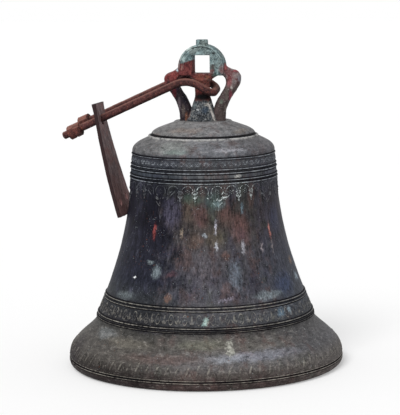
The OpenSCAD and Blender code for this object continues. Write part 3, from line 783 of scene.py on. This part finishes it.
# [x, z, half-width, half-height, tone, strength] of stains on the crown, seen from the front
crownStains = [
    [-38, 592, 1.5, 6, (168, 132, 122), 0.6], [24, 593, 5, 7, (74, 60, 56), 0.75],
    [22, 585, 5, 4, (120, 58, 56), 0.7], [43, 588, 8, 11, (112, 74, 74), 0.85],
    [28, 577, 9, 3.5, (40, 58, 54), 0.8], [13, 573, 5, 4, (132, 88, 64), 0.6],
    [-2, 573, 9, 8, (124, 72, 60), 0.7], [-27, 574, 9, 4, (20, 16, 18), 0.9],
    [-25, 629, 8, 5, (196, 210, 206), 0.75], [-36, 610, 6, 9, (162, 180, 178), 0.65],
    [-2, 543, 11, 9, (118, 46, 46), 0.7], [2, 534, 24, 9, (18, 16, 18), 1.0],
    [-10, 556, 4, 8, (70, 44, 42), 0.6], [9, 508, 7, 7, (52, 66, 82), 0.7],
    [-6, 509, 3, 2, (190, 194, 194), 0.8], [-14, 517, 5, 4, (120, 132, 134), 0.7],
    [14, 519, 8, 3, (168, 164, 158), 0.7], [-26, 500, 4, 9, (120, 78, 62), 0.6],
    [0, 497, 10, 5, (36, 38, 44), 0.7], [22, 500, 5, 8, (60, 62, 66), 0.6],
]


def crownFinish():
    # crusty verdigris with dark pits on the plate; red oxide under a slanting line left of the
    # window and on the pillar; under its black ring a mottled foot with a pale ridge on its right
    f = Finish("crustedVerdigris", Specular_IOR_Level=0.12)
    crust = f.noise(7, 5, 0.7)
    fine = f.noise(2.4, 4, 0.7)
    color = f.mix(crust.step(0.38, 0.62), (84, 102, 105), (130, 149, 150))
    color = f.mix(f.noise(20, 3).step(0.45, 0.65, 0.45), color, (112, 114, 108))
    red = f.mix(crust.step(0.35, 0.62), (78, 38, 40), (112, 60, 58))
    under = (f.x * 0.295 + 611.5 - f.z + fine.about(6)).step(-1.5, 1.5) * f.x.step(-10, -13)
    under = under.most((f.z + crust.about(9)).step(585, 578) * f.x.step(30, 22))
    color = f.mix(under, color, red)
    left = (0.0 - f.x + crust.about(10)).step(38, 43, 0.8)
    color = f.mix(left, color, (98, 52, 54))
    level = f.z + crust.about(14) + fine.about(8)
    stem = f.mix(fine.step(0.4, 0.6), (142, 84, 76), (112, 72, 68))
    stem = f.mix(f.noise(12, 4, 0.65).step(0.52, 0.62, 0.6), stem, (98, 94, 90))
    color = f.mix(level.step(573, 568), color, stem)
    foot = f.mix(fine.step(0.42, 0.6), (38, 41, 47), (88, 92, 96))
    foot = f.mix(crust.step(0.52, 0.62, 0.6), foot, (120, 120, 116))
    foot = f.mix(f.noise(1.9, 2).step(0.62, 0.69, 0.85), foot, (196, 198, 196))
    color = f.mix(level.step(530, 524), color, foot)
    flat = f.plane(f.x + fine.about(7) + crust.about(5), f.z + crust.about(8) + fine.about(6))
    color = f.spotted(color, flat, crownStains)
    ridge = (f.x - 13.5 - (522.0 - f.z) * 0.4 + fine.about(4)).near(0, 3.2) * f.z.step(526, 520)
    color = f.mix(ridge * 0.85, color, (200, 194, 188))
    color = f.scaled(color, 1.0 + crust.about(1.6) + fine.about(2.6))
    relief = f.layer("relief")
    # painted shade in the grooves and pits of the plate's mouldings
    color = f.mix(relief.step(0.47, 0.05, 0.9), color, (26, 30, 32))
    color = f.mix(relief.step(0.58, 1.0, 0.6), color, (178, 192, 190))
    pits = f.noise(4.2, 4, 0.7).step(0.55, 0.62, 0.9) * (f.x.step(-24, 12, 0.75) + 0.25)
    color = f.mix(pits, color, (34, 36, 36))
    f.feed(Base_Color=color, Roughness=0.7 + crust * 0.2)
    f.bumped((crust * 1.4 + pits * -0.7, 0.8), (fine * 0.6, 0.8))
    return f.material


# stains on the canons, seen from the front; [-47, 587] and [-45, 520] are painted highlights on the left
# canon, [48, 571] is painted shadow on the right canon's inner edge
canonStainsAndPaintedLight = [
    [-47, 587, 5, 4, (164, 178, 184), 0.9], [-57, 578, 9, 6, (116, 54, 52), 0.8],
    [-70, 571, 6, 7, (96, 40, 40), 0.75], [-49, 549, 6, 8, (44, 34, 46), 0.8],
    [-33, 533, 7, 15, (16, 14, 26), 0.9], [-55, 543, 5, 13, (108, 44, 52), 0.8],
    [-45, 520, 3, 14, (112, 100, 106), 0.6], [-37, 508, 4, 12, (96, 86, 82), 0.7],
    [-31, 494, 3, 10, (116, 76, 58), 0.75], [-47, 498, 3, 12, (28, 28, 40), 0.7],
    [46, 592, 6, 7, (130, 62, 62), 0.85], [65, 577, 4, 5, (146, 134, 132), 0.6],
    [61, 553, 2.4, 5, (160, 154, 150), 0.7], [75, 569, 4, 8, (108, 110, 118), 0.7],
    [56, 566, 6, 12, (122, 66, 68), 0.75], [40, 525, 4, 6, (92, 104, 92), 0.6],
    [48, 571, 2.2, 10, (34, 18, 20), 0.85], [40, 500, 6, 14, (62, 54, 50), 0.7],
    [58, 533, 4, 14, (124, 54, 68), 0.8], [50, 541, 4, 12, (98, 90, 84), 0.6],
    [70, 586, 8, 3, (132, 52, 58), 0.8], [34, 540, 4, 12, (60, 48, 48), 0.7],
    [47, 512, 2.5, 8, (120, 112, 104), 0.6],
]


def canonFinish():
    # red oxide over dark bronze on the left, rubbed grey and purple-brown on the right, with
    # stains by place, among them painted highlights and a painted shadow
    f = Finish("oxidisedCanon", Specular_IOR_Level=0.15)
    torn = f.noise(10, 5, 0.65)
    fine = f.noise(2.8, 4, 0.7)
    high = f.z + torn.about(34)
    red = f.mix(fine.step(0.4, 0.62), (92, 44, 44), (122, 62, 60))
    grey = f.mix(torn.step(0.42, 0.6), (104, 64, 66), (106, 96, 96))
    right = (f.x + torn.about(30)).step(-6, 14)
    bare = f.mix(right, (44, 36, 41), (72, 61, 60))
    color = f.mix(high.step(550, 572), bare, f.mix(right, red, grey))
    flat = f.plane(f.x + fine.about(6) + torn.about(5), f.z + torn.about(12) + fine.about(6))
    color = f.spotted(color, flat, canonStainsAndPaintedLight)
    color = f.scaled(color, 1.0 + torn.about(2.2) + fine.about(2.4))
    color = f.mix(f.noise(2.2, 2).step(0.66, 0.72, 0.7), color, (176, 172, 166))
    color = f.mix(f.noise(3.0, 3, 0.6).step(0.61, 0.69, 0.75), color, (26, 22, 24))
    f.feed(Base_Color=color, Roughness=0.55 + torn * 0.3)
    f.bumped((torn * 1.2, 0.7), (fine * 0.5, 0.7))
    return f.material


verdigris = crownFinish()
oxide = canonFinish()

crownShape = {"arch": 46.0, "archHeight": 591.0, "thickness": 36.0, "cutOff": 576.0, "window": (35.0, 36.0),
              "sill": 580.0, "columns": 176, "ridges": (5.4, 8.0, 13.0, 15.6, 18.2),
              "grooves": (6.7, 9.3, 11.7, 14.3, 16.9)}


def addCrownPlate(s):
    # rays from the window's middle: a point lies between the window's edge and the arch's edge,
    # and the two faces carry mouldings that follow the arch at fixed distances from its edge
    middle = s["sill"] + s["window"][1] / 2
    half, tall = s["window"][0] / 2, s["window"][1] / 2
    chord = math.sqrt(s["arch"] ** 2 - (s["archHeight"] - s["cutOff"]) ** 2)
    corners = [math.atan2(v, h) for h, v in ((half, tall), (-half, tall), (-half, -tall), (half, -tall),
               (chord, s["cutOff"] - middle), (-chord, s["cutOff"] - middle))]
    angle = np.sort(np.append(np.linspace(-math.pi, math.pi, s["columns"], endpoint=False) + 0.004, corners))
    cx, cz = np.cos(angle), np.sin(angle)
    inner = np.minimum(half / np.maximum(np.abs(cx), 1e-9), tall / np.maximum(np.abs(cz), 1e-9))
    drop = middle - s["archHeight"]
    outer = -cz * drop + np.sqrt((cz * drop) ** 2 + s["arch"] ** 2 - drop ** 2)
    flat = (s["cutOff"] - middle) / np.where(cz < -1e-6, cz, -1e-6)
    outer = np.minimum(outer, np.where(cz < -1e-6, flat, 1e9))
    share = np.concatenate([[0.0, 0.012, 0.03], np.linspace(0.06, 0.94, 44), [0.97, 0.988, 1.0]])[::-1, None]
    reach = inner + (outer - inner) * share
    x, z = reach * cx, middle + reach * cz
    fromArch = s["arch"] - np.hypot(x, z - s["archHeight"])
    fromRim = np.minimum(fromArch, z - s["cutOff"] + 8 * np.clip((34 - np.abs(x)) / 8, 0, 1))
    fromWindow = reach - inner
    rise = -1.8 * np.clip(1 - np.minimum(fromRim, fromWindow) / 1.8, 0, 1) ** 2
    clear = np.clip(fromWindow / 2.0 - 0.6, 0, 1) * np.clip((z - 583) / 8, 0, 1)
    ridges = 0.8 * mound(np.abs(fromArch - 2.6), 1.4) + 0.5 * mound(np.abs(fromArch - 10.5), 1.3)
    finer = np.clip((x + 6) / 18, 0, 1)
    for place in s["ridges"]:
        ridges += 0.75 * finer * mound(np.abs(fromArch - place), 1.15)
    ridges = ridges * clear + 0.25 * mound(np.abs(fromWindow - 2.6), 1.3) * np.clip(fromRim / 2.0 - 0.6, 0, 1)
    row, pitMiddle = np.abs(fromArch - 5.0), np.abs(np.mod(x + 2.2 * np.sin(x * 1.7), 4.6) - 2.3)
    pits = mound(np.hypot(row / 2.6, pitMiddle / 2.0), 1.0) * (np.abs(x - 2) < 19) * (z > middle)
    face = np.stack([x, np.full_like(x, -s["thickness"] / 2), z], -1)
    wear = 0.5 * lumps(face, 9, 31) + 0.4 * lumps(face, 4, 37) + 0.35 * lumps(face, 2.2, 39)
    lift = rise + ridges - 1.0 + wear * 0.5 - 0.9 * pits
    half = s["thickness"] / 2
    front = np.stack([x, -half - np.minimum(lift, 0), z], -1)
    back = np.stack([x, half + np.minimum(lift, 0), z], -1)[::-1]
    tag = 0.5 + ridges * 0.5 - 0.9 * pits - 0.45 * mound(np.abs(fromArch - 4.0), 0.9) * clear
    for place in s["grooves"]:
        tag -= 0.4 * finer * mound(np.abs(fromArch - place), 0.8) * clear
    tags = np.clip(np.vstack([tag, tag[::-1]]), 0, 1)
    piece = surface("crownPlate", np.vstack([front, back]), tags, along=True, sharp=0.8)
    addPiece(piece, "bell", "crown_bronze", verdigris, "crown_head")


def roundedBlock(s):
    # a superellipse carried upwards, drawn in over a rounded edge at the top
    low, high, edge = s["low"], s["high"], s["edge"]
    a = fullTurn(s["columns"])
    reach = superellipse(a, s["x"], s["y"], s["power"])
    turn = np.linspace(0, math.pi / 2, s["steps"])
    inset = np.concatenate([[0], edge * (1 - np.cos(turn)), [min(s["x"], s["y"])]])
    z = np.concatenate([[low], high - edge + edge * np.sin(turn), [high]])
    r = np.maximum(reach - inset[:, None], 0)
    r[-1] = 0
    return np.stack([r * np.cos(a), r * np.sin(a), np.broadcast_to(z[:, None], r.shape)], -1)


pillarShape = {"radius": 15.6, "foot": 33.0, "flat": 17.3, "columns": 96}
stubShape = {"x": 12.0, "y": 9.0, "low": 630, "high": 646, "steps": 8, "columns": 48, "edge": 1.6,
             "power": 5.0}


def addCrownPillar(s):
    # the pillar's outline turned about the axis, spread at its foot and into the throat under the
    # plate, where it is cut flat in front of and behind the middle
    foot, shaft = s["foot"], s["radius"]
    rows = np.vstack([[[0, 486], [foot, 486], [foot, 488.2]],
                      bezier([foot, 489], [27, 502], [20.5, 516], [shaft, 534], 24),
                      [[shaft, z] for z in np.linspace(538, 556, 6)],
                      bezier([15.5, 560], [17, 567], [26, 574.5], [42, 577.5], 16), [[42, 579], [0, 579]]])
    angle = fullTurn(s["columns"])
    grid = revolved(rows[:, :1], rows[:, 1:2], angle)
    push = 0.7 * lumps(grid, 11, 41) + 0.45 * lumps(grid, 4.5, 43) - 0.7
    push = push * (rows[:, :1] > 1) * (rows[:, 1:] < 578)
    grid = grid + revolved(1.0, 0.0, angle) * push[..., None]
    cut = np.clip(grid[..., 1], -s["flat"], s["flat"])
    grid[..., 1] = np.where(rows[:, 1:] > 556, cut, grid[..., 1])
    piece = surface("crownPillar", grid, sharp=1.2)
    addPiece(piece, "bell", "crown_bronze", verdigris, "crown_head")


def addCrownStub(s):
    # a block with a rounded top and the casting's lumps on its sides
    block = roundedBlock(s)
    block = block + (0.45 * lumps(block, 5, 47)[..., None] - 0.4) * np.sign(block) * np.array([1, 1, 0.0])
    bottom = np.zeros_like(block[:1])
    bottom[..., 2] = s["low"]
    piece = surface("crownStub", np.vstack([bottom, block]))
    addPiece(piece, "bell", "crown_bronze", verdigris, "crown_head")


def evenly(line, count):
    # that many points at equal distances along a line of points
    run = lengthAlong(line)
    at = np.linspace(0, run[-1], count)
    return np.column_stack([np.interp(at, run, line[:, 0]), np.interp(at, run, line[:, 1])])


canonShape = {
    "depth": 27.0, "power": 2.9, "rows": 60, "columns": 56, "elbow": [77.6, 566],
    "inner": [[[34, 576.8], [42, 576], [48, 571], [47.5, 561], 10],
              [[47.5, 561], [46, 546], [25, 534], [21, 505], 20],
              [[21, 505], [20.6, 499], [20.3, 493], [20, 486], 6]],
}
rightCanon = {**canonShape, "side": 1, "plate": [43.5, 605], "pull": [48, 592], "shoulder": [60, 588.6],
              "corner": 585, "seed": 51}
leftCanon = {**canonShape, "side": -1, "plate": [41, 601], "pull": [47, 592], "shoulder": [64, 582.6],
             "corner": 575, "seed": 61}


def addCanon(name, node, s):
    # a bar between the canon's outer and inner curves: each section is a superellipse across the
    # two curves, `depth` from front to back, with the casting's own lumps
    plate, shoulder, elbow, seed = s["plate"], s["shoulder"], s["elbow"], s["seed"]
    sx, sz = shoulder
    outer = np.vstack([[[28, plate[1] - 3]], bezier(plate, s["pull"], [sx - 7, sz + 1.5], shoulder, 10)[:-1],
                       bezier(shoulder, [sx + 8, sz - 2], [78.2, s["corner"]], elbow, 14)[:-1],
                       bezier(elbow, [76.6, 546], [45, 534], [46, 486], 22)])
    inner = np.vstack([[[26, 579]]] + [bezier(*curve)[:-1] for curve in s["inner"]] + [[[20, 486]]])
    o, i = evenly(outer, s["rows"]), evenly(inner, s["rows"])
    middle, across = (o + i) / 2, (o - i) / 2
    a = fullTurn(s["columns"])
    size = superellipse(a, 1, 1, s["power"])
    u, v = np.cos(a) * size, np.sin(a) * size
    x = middle[:, :1] + across[:, :1] * u
    z = middle[:, 1:] + across[:, 1:] * u
    grid = np.stack([x, np.broadcast_to(s["depth"] / 2 * v, x.shape), z], -1)
    grid = capped(grid, grid[:1].mean(1, keepdims=True), grid[-1:].mean(1, keepdims=True))
    centre = np.vstack([middle[:1], middle, middle[-1:]])
    axis = np.stack([centre[:, 0], np.zeros(len(centre)), centre[:, 1]], -1)[:, None, :]
    wear = 0.045 * lumps(grid, 13, seed) + 0.035 * lumps(grid, 5, seed + 2) - 0.05
    grid = grid + (grid - axis) * wear[..., None] * (grid[..., 2:] > 488)
    if s["side"] < 0:
        grid = grid[:, ::-1] * np.array([-1, 1, 1])
    piece = surface(name, grid[:, ::-1], sharp=1.2)
    addPiece(piece, "bell", "canon_bronze", oxide, node)


addCrownPlate(crownShape)
addCrownPillar(pillarShape)
addCrownStub(stubShape)
addCanon("canonRight", "right_canon", rightCanon)
addCanon("canonLeft", "left_canon", leftCanon)
print("crown done")


def rustFinish(name, dark, middle, bright, spot):
    # forged iron: brown scale in patches, brighter rust between them, orange spots, dark pits;
    # painted shade where relief is low, as underneath, and a painted highlight with some rubbed rust where it
    # is high
    f = Finish(name, Specular_IOR_Level=0.15)
    patch = f.noise(10, 5, 0.6)
    fine = f.noise(2, 4, 0.65)
    color = f.mix(patch.step(0.35, 0.65), dark, middle)
    color = f.mix(fine.step(0.45, 0.7, 0.7), color, bright)
    color = f.mix(f.noise(4, 3).step(0.58, 0.68, 0.6), color, spot)
    color = f.mix(f.noise(1.4, 2).step(0.64, 0.72, 0.7), color, (34, 24, 22))
    color = f.scaled(color, 1.0 + patch.about(2.0) + fine.about(2.0))
    relief = f.layer("relief")
    # painted shade on low relief and a painted highlight on high relief
    color = f.mix(relief.step(0.5, 0.05, 0.85), color, (22, 15, 16))
    color = f.mix(relief.step(0.66, 1.0, 0.6), color, (156, 112, 100))
    f.feed(Base_Color=color, Roughness=0.6 + patch * 0.3)
    f.bumped((patch * 0.8, 0.7), (fine * 0.4, 0.8))
    return f.material


def strapFinish():
    # rolled iron: streaks that run down the plate, grey scale over brown rust, redder and lighter
    # towards the foot, the lightening painted light against the lower end's shade, and darker along the edges
    f = Finish("strapIron", Specular_IOR_Level=0.15)
    streak = f.noise(3.4, 4, 0.65, f.stretched(1, 1, 0.1))
    patch = f.noise(20, 5, 0.65)
    fine = f.noise(2, 4, 0.7)
    color = f.mix(streak.step(0.38, 0.62), (96, 78, 79), (130, 113, 114))
    color = f.mix(patch.step(0.46, 0.62, 0.7), color, (124, 88, 84))
    # redder rust and a painted lightening towards the foot, against the shade of the lower end
    color = f.mix((f.z + patch.about(70)).step(400, 320, 0.85), color, (162, 122, 120))
    color = f.mix(streak.step(0.6, 0.74, 0.6), color, (136, 124, 124))
    color = f.mix(fine.step(0.57, 0.72, 0.6), color, (46, 34, 35))
    color = f.scaled(color, 1.0 + streak.about(2.2) + fine.about(2.0))
    edge = f.layer("rim")
    color = f.mix(edge * (0.8 + fine * 0.4), color, (44, 30, 31))
    f.feed(Base_Color=color, Roughness=0.55 + patch * 0.3)
    f.bumped((streak * 0.7 + patch * 0.4, 0.6), (fine * 0.4, 0.7))
    return f.material


rodIron = rustFinish("rustedRod", (55, 32, 33), (76, 44, 43), (96, 62, 59), (112, 63, 48))
nutIron = rustFinish("rustedNut", (62, 36, 34), (84, 47, 43), (106, 62, 54), (128, 74, 52))
plateIron = strapFinish()

stirrup = {"rod": 7.7, "span": 62.0, "crossing": (24.7, 4.2, 544.5), "lean": 24.2, "climb": 32.0, "roll": 8.4,
           "yaw": 3.0, "knee": 58.0, "kneeRadius": 50.0, "cornerRadius": 18.0, "front": 282.0, "back": 264.0,
           "thread": 48.0, "pitch": 2.6, "threadDepth": 0.6}


def stirrupPlace(s):
    # the crossing's middle, turned by the yaw and by the roll about the legs' own direction
    lean = math.radians(s["lean"])
    yawed = moving(*s["crossing"]) @ turning("Z", -s["yaw"])
    return yawed @ turning((math.cos(lean), 0, math.sin(lean)), s["roll"])


def legPlace(side, s=stirrup):
    # a leg's knee corner, with +Z down the leg
    climb = math.radians(s["climb"])
    corner = moving(-s["knee"] * math.cos(climb), side * s["span"] / 2, s["knee"] * math.sin(climb))
    return stirrupPlace(s) @ corner @ turning("Y", -90 - s["lean"])


def roundedPath(corners, radii, step, dense):
    # straight runs joined by arcs: c + n R (1 - cos a) and along d R sin a at each corner;
    # the first and last `dense` millimetres are sampled finely
    points = [corners[0]]

    def run(end, fine):
        # equal steps straight from the last point to the end
        start = points[-1]
        count = max(2, int(np.linalg.norm(end - start) / fine))
        for t in np.linspace(0, 1, count + 1)[1:]:
            points.append(start + (end - start) * t)

    run(corners[0] + unit(corners[1] - corners[0]) * dense, 0.42)
    for before, corner, after, radius in zip(corners, corners[1:], corners[2:], radii):
        d0, d1 = unit(corner - before), unit(after - corner)
        bend = math.acos(float(np.clip(d0 @ d1, -1, 1)))
        normal = unit(d1 - d0 * (d0 @ d1))
        begin = corner - d0 * radius * math.tan(bend / 2)
        run(begin, step)
        for a in np.linspace(0, bend, max(6, int(radius * bend / 2)))[1:]:
            points.append(begin + d0 * radius * math.sin(a) + normal * radius * (1 - math.cos(a)))
    run(corners[-1] - unit(corners[-1] - corners[-2]) * dense, step)
    run(corners[-1], 0.42)
    return np.array(points)


def addRod(s):
    # a round bar swept along the bent path; its radius loses a helix near both tips,
    # r - depth (1 + cos(2 pi s / pitch - a)) / 2, and small hammer marks elsewhere
    climb = math.radians(s["climb"])
    half = s["span"] / 2
    knee = np.array([-s["knee"] * math.cos(climb), 0, s["knee"] * math.sin(climb)])
    lean = math.radians(s["lean"])
    leg = np.array([-math.cos(lean), 0, -math.sin(lean)])
    across = np.array([0, half, 0])
    corners = np.array([knee - across + leg * s["front"], knee - across, -across, across, knee + across,
                        knee + across + leg * s["back"]])
    corners = placed(stirrupPlace(s), corners)
    path = roundedPath(corners, (s["kneeRadius"], s["cornerRadius"], s["cornerRadius"], s["kneeRadius"]), 3.0,
                       s["thread"])
    tangent = unit(np.gradient(path, axis=0))
    run = lengthAlong(path)
    sideways = unit(np.cross(tangent, np.array([0, 0, 1.0])))
    upwards = np.cross(tangent, sideways)
    a = fullTurn(24)
    fromTip = np.minimum(run, run[-1] - run)[:, None]
    threaded = np.clip((s["thread"] - fromTip) / 3, 0, 1)
    wave = 0.5 + 0.5 * np.cos(2 * math.pi * run[:, None] / s["pitch"] - a)
    radius = s["rod"] - threaded * s["threadDepth"] * wave
    radius = radius - 1.5 * np.clip(1 - fromTip / 1.8, 0, 1)
    ring = sideways[:, None, :] * np.cos(a)[..., None] + upwards[:, None, :] * np.sin(a)[..., None]
    grid = path[:, None, :] + ring * radius[..., None]
    marks = (0.18 * lumps(grid, 9, 71) + 0.1 * lumps(grid, 4, 73) - 0.2) * (1 - threaded)
    grid = grid + ring * marks[..., None]
    grid = capped(grid, path[0], path[-1])
    # relief for the finish: higher on the rod's upper side, lower underneath and in the thread's grooves, so
    # the finish paints light on top and shade below
    tags = 0.52 + 0.42 * ring[..., 2] - 0.3 * threaded * (wave - 0.4)
    tags = np.vstack([tags[:1], tags, tags[-1:]])
    piece = surface("bentRod", grid, tags, sharp=1.0)
    addPiece(piece, "stirrup", "rusted_iron", rodIron, "stirrup_rod")


nutShape = {"across": 25.5, "hole": 7.65, "columns": 96}


def addNut(name, node, side, at, turn, seed, thick, s=nutShape):
    # hexagon across / 2 / cos(a mod 60 - 30), cut by a cone at both ends; each row is one step
    # of the closed section from the hole over the faces; it sits `at` down its leg
    place = legPlace(side) @ moving(0, 0, at) @ turning("Z", turn)
    a = fullTurn(s["columns"])
    apothem, hole = s["across"] / 2, s["hole"]
    hexagon = apothem / np.cos(np.mod(a, math.pi / 3) - math.pi / 6)
    rise = np.array([0.0, 0.0, 0.0, 0.5, 1.2, 2.4, 4.0])
    level = np.concatenate([rise, [thick / 2], (thick - rise)[::-1]])[:, None]
    cone = apothem - 0.1 + np.minimum(level, thick - level) * 1.7
    outer = np.minimum(hexagon, np.maximum(cone, apothem * 0.97))
    share = np.concatenate([[0.0, 0.6], np.ones(11), [0.6, 0.0]])[:, None]
    radius = hole + (outer - hole) * share
    grid = np.stack([radius * np.cos(a), radius * np.sin(a), np.broadcast_to(level, radius.shape)], -1)
    wear = 0.25 * lumps(grid, 5, seed) + 0.15 * lumps(grid, 2.2, seed + 1) - 0.4
    wear = wear[..., None] * share[..., None]
    grid = grid + np.concatenate([np.cos(a), np.sin(a), a * 0]).T[None] * wear
    # relief for the finish: higher on the sides that face up, lower on those that face down, so the finish
    # paints light and shade on the nut; the lighter corners are painted highlight and wear
    facing = np.concatenate([np.cos(a), np.sin(a)]).T @ place[2, :2]
    corner = np.clip((hexagon / apothem - 1.06) / 0.09, 0, 1) + np.clip(1 - np.abs(share - 0.97) / 0.04, 0, 1)
    tags = np.clip(0.5 + 0.4 * facing[None] + 0.25 * corner, 0, 1)
    piece = surface(name, placed(place, grid), tags, along=True, sharp=0.5)
    addPiece(piece, "stirrup", "rusted_iron", nutIron, node)


washerShape = {"radius": 14.5, "thick": 3.0, "hole": 7.75, "columns": 64}


def addWasher(name, node, side, at, s=washerShape):
    # ring between the hole and the outer radius, its outer corners drawn in by 0.6 mm
    radius, thick, hole = s["radius"], s["thick"], s["hole"]
    place = legPlace(side) @ moving(0, 0, at)
    a = fullTurn(s["columns"])
    r = np.array([hole, radius - 0.6, radius - 0.15, radius - 0.15, radius - 0.6, hole])[:, None]
    z = np.array([0, 0, 0.6, thick - 0.6, thick, thick])[:, None]
    grid = np.stack(np.broadcast_arrays(r * np.cos(a), r * np.sin(a), z), -1)
    grid = grid + 0.2 * (lumps(grid, 6, 83)[..., None] - 1) * (r > hole)[..., None] * np.array([1, 1, 0])
    piece = surface(name, placed(place, grid), along=True, sharp=0.6)
    addPiece(piece, "stirrup", "rusted_iron", nutIron, node)


strapShape = {"width": 54.0, "thickness": 8.0, "pitch": 170.0, "hole": 10.6, "freeHole": 7.0, "bow": 4.0,
              "hangGap": 1.3}


def addStrap(name, node, side, at, tilt, topEnd, footEnd, seed, s=strapShape):
    # a flat grid whose squares round the holes are drawn onto circles, bowed along its length by
    # sqrt(R^2 - x^2) and thickened; the edges are forged a little unevenly
    whole = topEnd + s["pitch"] + footEnd
    bowRadius = whole ** 2 / (8 * s["bow"]) + s["bow"] / 2
    middle = topEnd - whole / 2
    patch, keepOut, side0 = 18.0, 0.5, s["width"] / 2
    square = np.array([2.25, 4.5, 6.75, 9.0, 11.2, 13.5, 18.0])
    square = np.concatenate([-square[::-1], [0.0], square])
    rim = np.array([0.0, 0.6, 2.0, 5.0])
    width = np.concatenate([rim - side0, square, (side0 - rim)[::-1]])
    ends = np.array([0.0, 0.6, 2.5, 6.0])
    low, high = -s["pitch"] - footEnd, topEnd
    lengths = np.concatenate([high - ends, np.linspace(high - 8, 20, 3), square[::-1],
                              np.linspace(-22, 22 - s["pitch"], 44), square[::-1] - s["pitch"],
                              np.linspace(-s["pitch"] - 20, low + 8, 3), low + ends[::-1]])
    lengths = np.sort(lengths)[::-1]
    y, x = np.meshgrid(width, lengths)
    flatX, flatY = x.copy(), y.copy()
    removed = np.zeros((len(lengths) - 1, len(width) - 1), bool)
    for centre, hole in ((0.0, s["hole"]), (-s["pitch"], s["freeHole"])):
        qx, qy = (x - centre) / patch, y / patch
        m = np.maximum(np.abs(qx), np.abs(qy))
        away = np.hypot(qx, qy) + 1e-9
        blend = np.clip((m - keepOut) / (1 - keepOut), 0, 1)
        reach = hole / away * (1 - blend) + patch * blend
        flatX = np.where(m <= 1, centre + qx * reach, flatX)
        flatY = np.where(m <= 1, qy * reach, flatY)
        inHole = m < keepOut - 1e-6
        removed |= inHole[:-1, :-1] | inHole[1:, :-1] | inHole[:-1, 1:] | inHole[1:, 1:]
    nearEnd = np.minimum(high - flatX, flatX - low)
    nearSide = side0 - np.abs(flatY)
    nearEdge = np.minimum(nearSide, nearEnd)
    rough = 0.6 * (lumps(np.stack([flatX, flatY, flatX * 0], -1), 13, seed) - 1)
    rough = rough * np.clip(1 - nearEdge / 6, 0, 1)
    flatX = flatX + np.sign(flatX - middle) * rough * (nearEnd < 6)
    flatY = flatY + np.sign(flatY) * rough * (nearSide < 6)
    rise = np.sqrt(bowRadius ** 2 - (flatX - middle) ** 2) - bowRadius + 0.75 * s["bow"]
    top = np.stack([flatX, flatY, rise + s["thickness"] / 2 - 0.1], -1)
    bottom = np.stack([flatX, flatY, rise - s["thickness"] / 2 + 0.1], -1)
    dents = 0.2 * lumps(top, 11, seed + 3) + 0.1 * lumps(top, 5, seed + 4) - 0.3
    dents = dents[..., None] * np.array([0, 0, 1])
    hung = legPlace(side) @ turning("Z", stirrup["roll"]) @ moving(-s["hangGap"], 0, at)
    place = hung @ turning("Y", stirrup["lean"] - tilt)
    piece = plateMesh(name, placed(place, top + dents), placed(place, bottom - dents), removed,
                      np.clip(1 - nearEdge / 2.5, 0, 1))
    modify(piece, "BEVEL", width=0.0011, segments=2, limit_method="ANGLE", angle_limit=math.radians(50))
    addPiece(piece, name, "strap_iron", plateIron, node)


def plateMesh(name, top, bottom, removed, rim):
    # two parallel grids without the holes' squares, joined by a wall along every open edge
    rows, cols = top.shape[:2]
    ids = np.arange(rows * cols).reshape(rows, cols)
    quads = np.stack([ids[:-1, :-1], ids[:-1, 1:], ids[1:, 1:], ids[1:, :-1]], -1)[~removed]
    edges = np.concatenate([quads[:, [0, 1]], quads[:, [1, 2]], quads[:, [2, 3]], quads[:, [3, 0]]])
    code = edges[:, 0] * rows * cols + edges[:, 1]
    twin = edges[:, 1] * rows * cols + edges[:, 0]
    openEdges = edges[~np.isin(code, twin)]
    lower = rows * cols
    walls = np.stack([openEdges[:, 1], openEdges[:, 0], openEdges[:, 0] + lower, openEdges[:, 1] + lower], -1)
    faces = np.vstack([quads, quads[:, ::-1] + lower, walls])
    layers = {"rim": np.concatenate([rim, rim])}
    mesh = cleanMesh(name, np.concatenate([top, bottom]), faces, layers, 0.6, False)
    return bpy.data.objects.new(name + "Plate", mesh)


addRod(stirrup)
addNut("nutFrontInner", "front_jam_nut", side=-1, at=242, turn=0, seed=75, thick=13.5)
addNut("nutFrontOuter", "front_nut", side=-1, at=255.5, turn=17, seed=77, thick=13.5)
addNut("nutBack", "back_nut", side=1, at=239, turn=8, seed=79, thick=21.5)
addWasher("washerBack", "back_washer", side=1, at=236)
addStrap("front_strap", "front_strap", side=-1, at=196, tilt=11.9, topEnd=34.0, footEnd=28.0, seed=91)
addStrap("back_strap", "back_strap", side=1, at=214, tilt=16.7, topEnd=28.0, footEnd=34.0, seed=95)
print("stirrup and straps done")


def leatherFinish():
    # old harness leather: cells of grain, creases across the strap, darker at the folds
    f = Finish("oldLeather", Specular_IOR_Level=0.3)
    grain = f.cracks(1.6)
    crease = f.noise(6, 4, 0.6, f.stretched(0.3, 1, 1))
    color = f.mix(crease.step(0.35, 0.65), (58, 38, 28), (96, 66, 46))
    color = f.mix(grain.step(0.2, 0.0, 0.6), color, (34, 22, 16))
    f.feed(Base_Color=color, Roughness=0.55 + crease * 0.25)
    f.bumped((crease * 0.8, 0.6), (grain.least(0.3) * 0.5, 0.6))
    return f.material


clapperIron = rustFinish("forgedClapper", (48, 38, 36), (68, 54, 50), (92, 72, 66), (112, 76, 54))
leather = leatherFinish()


def refinish(node, material):
    # the node's own mesh keeps its shape and takes the finish
    nodes[node].data.materials.clear()
    nodes[node].data.materials.append(material)


for node in ("clapper_staple", "baldric_cheeks", "baldric_bolts", "baldric_nuts", "clapper"):
    refinish(node, clapperIron)
refinish("baldric_strap", leather)
print("finishes inside the bell done")

scene.view_settings.view_transform = "Standard"
